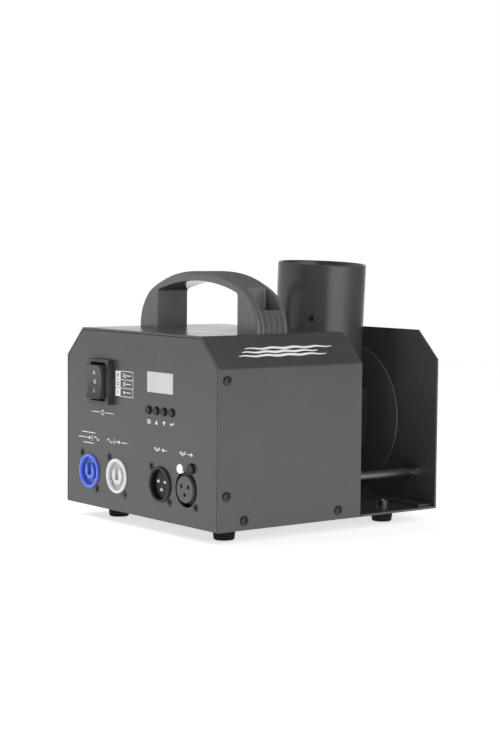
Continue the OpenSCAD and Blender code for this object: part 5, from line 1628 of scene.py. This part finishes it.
class FOG_OT_stage(MakerOperator):
    """Make the camera, the floor and the soft light"""

    bl_idname = "fog.stage"
    bl_label = "Stage"

    def make(self):
        s = settings().stage
        for part in (self.camera, self.floor, self.sky, self.lights):
            part(s)
        bpy.context.scene.view_settings.view_transform = "Standard"
        bpy.context.scene.view_settings.look = "None"

    def camera(self, s):
        ahead = Vector((-math.sin(s.yaw) * math.cos(s.pitch), math.cos(s.yaw) * math.cos(s.pitch),
                        -math.sin(s.pitch)))
        right = Vector((math.cos(s.yaw), math.sin(s.yaw), 0))
        up = right.cross(ahead)
        turned_right = right * math.cos(s.roll) + up * math.sin(s.roll)
        turned_up = up * math.cos(s.roll) - right * math.sin(s.roll)
        data = bpy.data.cameras.new("camera")
        data.lens = s.lens
        data.sensor_width = 36
        camera = linked("camera", data)
        turn = Matrix((turned_right, turned_up, -ahead)).transposed().to_4x4()
        camera.matrix_world = Matrix.Translation(s.camera_at) @ turn
        bpy.context.scene.camera = camera

    def floor(self, s):
        bm = bmesh.new()
        bmesh.ops.create_grid(bm, x_segments=1, y_segments=1, size=s.floor_size / 2)
        mesh = bpy.data.meshes.new("floor")
        bm.to_mesh(mesh)
        bm.free()
        floor = linked("floor", mesh)
        floor.data.materials.append(finish("pale_floor"))

    def ramp(self, tree, stops):
        """A colour ramp of grey levels at positions."""
        node = new_node(tree, "ShaderNodeValToRGB")
        elements = node.color_ramp.elements
        for element, (position, level) in zip(elements, (stops[0], stops[-1])):
            element.position, element.color = position, (level, level, level, 1)
        for position, level in stops[1:-1]:
            elements.new(position).color = (level, level, level, 1)
        return node

    def sky(self, s):
        """A white studio with a dark side where the viewer stands, a strip light to the right and
        a darker ceiling. It is plain white where it is seen directly."""
        world = bpy.data.worlds.new("studio")
        bpy.context.scene.world = world
        world.use_nodes = True
        tree = world.node_tree
        tree.nodes.clear()
        link = tree.links.new
        place = new_node(tree, "ShaderNodeTexCoord")
        split = new_node(tree, "ShaderNodeSeparateXYZ")
        link(place.outputs["Generated"], split.inputs["Vector"])
        height = self.ramp(tree, ((0.0, 1.0), (0.10, 1.0), (0.32, 0.65), (0.60, 0.30), (1.0, 0.35)))
        link(split.outputs["Z"], height.inputs["Fac"])
        # The angle round the upright from the viewer, as a share of a turn from 0 to 1
        viewer = new_node(tree, "ShaderNodeVectorMath", operation="DOT_PRODUCT")
        viewer.inputs[1].default_value = (math.sin(s.yaw), -math.cos(s.yaw), 0)
        right = new_node(tree, "ShaderNodeVectorMath", operation="DOT_PRODUCT")
        right.inputs[1].default_value = (math.cos(s.yaw), math.sin(s.yaw), 0)
        angle = new_node(tree, "ShaderNodeMath", operation="ARCTAN2")
        share = new_node(tree, "ShaderNodeMath", {1: 0.5 / math.pi, 2: 0.5}, operation="MULTIPLY_ADD")
        for dot in (viewer, right):
            link(place.outputs["Generated"], dot.inputs[0])
        link(right.outputs["Value"], angle.inputs[0])
        link(viewer.outputs["Value"], angle.inputs[1])
        link(angle.outputs[0], share.inputs[0])
        round_stops = ((0.0, 0.75), (0.08, 0.45), (0.17, 0.50), (0.21, 0.62), (0.30, 0.45), (0.355, 0.03),
                       (0.535, 0.01), (0.565, 1.25), (0.65, 1.25), (0.70, 0.40), (0.76, 0.06), (0.86, 0.10),
                       (1.0, 0.75))
        band = self.ramp(tree, round_stops)
        link(share.outputs[0], band.inputs["Fac"])
        both = new_node(tree, "ShaderNodeMix", data_type="RGBA", blend_type="MULTIPLY")
        both.inputs[0].default_value = 1.0
        link(height.outputs["Color"], both.inputs[6])
        link(band.outputs["Color"], both.inputs[7])
        lit = new_node(tree, "ShaderNodeBackground", {"Strength": 1.7})
        plain = new_node(tree, "ShaderNodeBackground", {"Color": (1, 1, 1, 1), "Strength": 1.0})
        path = new_node(tree, "ShaderNodeLightPath")
        mix = new_node(tree, "ShaderNodeMixShader")
        end = new_node(tree, "ShaderNodeOutputWorld")
        link(both.outputs[2], lit.inputs["Color"])
        link(path.outputs["Is Camera Ray"], mix.inputs["Fac"])
        link(lit.outputs["Background"], mix.inputs[1])
        link(plain.outputs["Background"], mix.inputs[2])
        link(mix.outputs["Shader"], end.inputs["Surface"])

    def lights(self, s):
        target = (Vector(cad_box[0]) + Vector(cad_box[1])) / 2
        for name, power, at, size in (("key", s.key_power, (-0.6, -1.2, 1.3), 0.9),
                                      ("fill", s.fill_power, (1.4, -0.2, 0.7), 0.9)):
            data = bpy.data.lights.new(name, "AREA")
            data.energy = power
            data.size = size
            lamp = linked(name, data)
            lamp.matrix_world = along(Vector(at) - target, at)
            lamp.visible_glossy = False


class FOG_PT_panel(bpy.types.Panel):
    """Sidebar panel that lists the operators and their settings"""

    bl_label = "Fog Machine"
    bl_idname = "FOG_PT_panel"
    bl_space_type = "VIEW_3D"
    bl_region_type = "UI"
    bl_category = "Fog Machine"

    def draw(self, context):
        for operator in OPERATORS:
            self.layout.operator(operator.bl_idname)
        for group in ("coat", "sheet", "handle", "marks", "stage"):
            box = self.layout.box()
            values = getattr(context.scene.fog_machine, group)
            for name in values.__annotations__:
                box.prop(values, name)


GROUPS = (FogCoatSettings, FogSheetSettings, FogHandleSettings, FogPrintSettings, FogStageSettings,
          FogMachineSettings)
OPERATORS = (FOG_OT_case, FOG_OT_handle, FOG_OT_barrel, FOG_OT_bay, FOG_OT_connectors,
             FOG_OT_controls, FOG_OT_marks, FOG_OT_fasteners, FOG_OT_feet, FOG_OT_works, FOG_OT_stage)


def register():
    for cls in (*GROUPS, *OPERATORS, FOG_PT_panel):
        bpy.utils.register_class(cls)
    bpy.types.Scene.fog_machine = PointerProperty(type=FogMachineSettings)


def unregister():
    del bpy.types.Scene.fog_machine
    for cls in reversed((*GROUPS, *OPERATORS, FOG_PT_panel)):
        bpy.utils.unregister_class(cls)


def main():
    register()
    for operator in OPERATORS:
        group, name = operator.bl_idname.split(".")
        getattr(getattr(bpy.ops, group), name)()


if __name__ == "__main__":
    main()
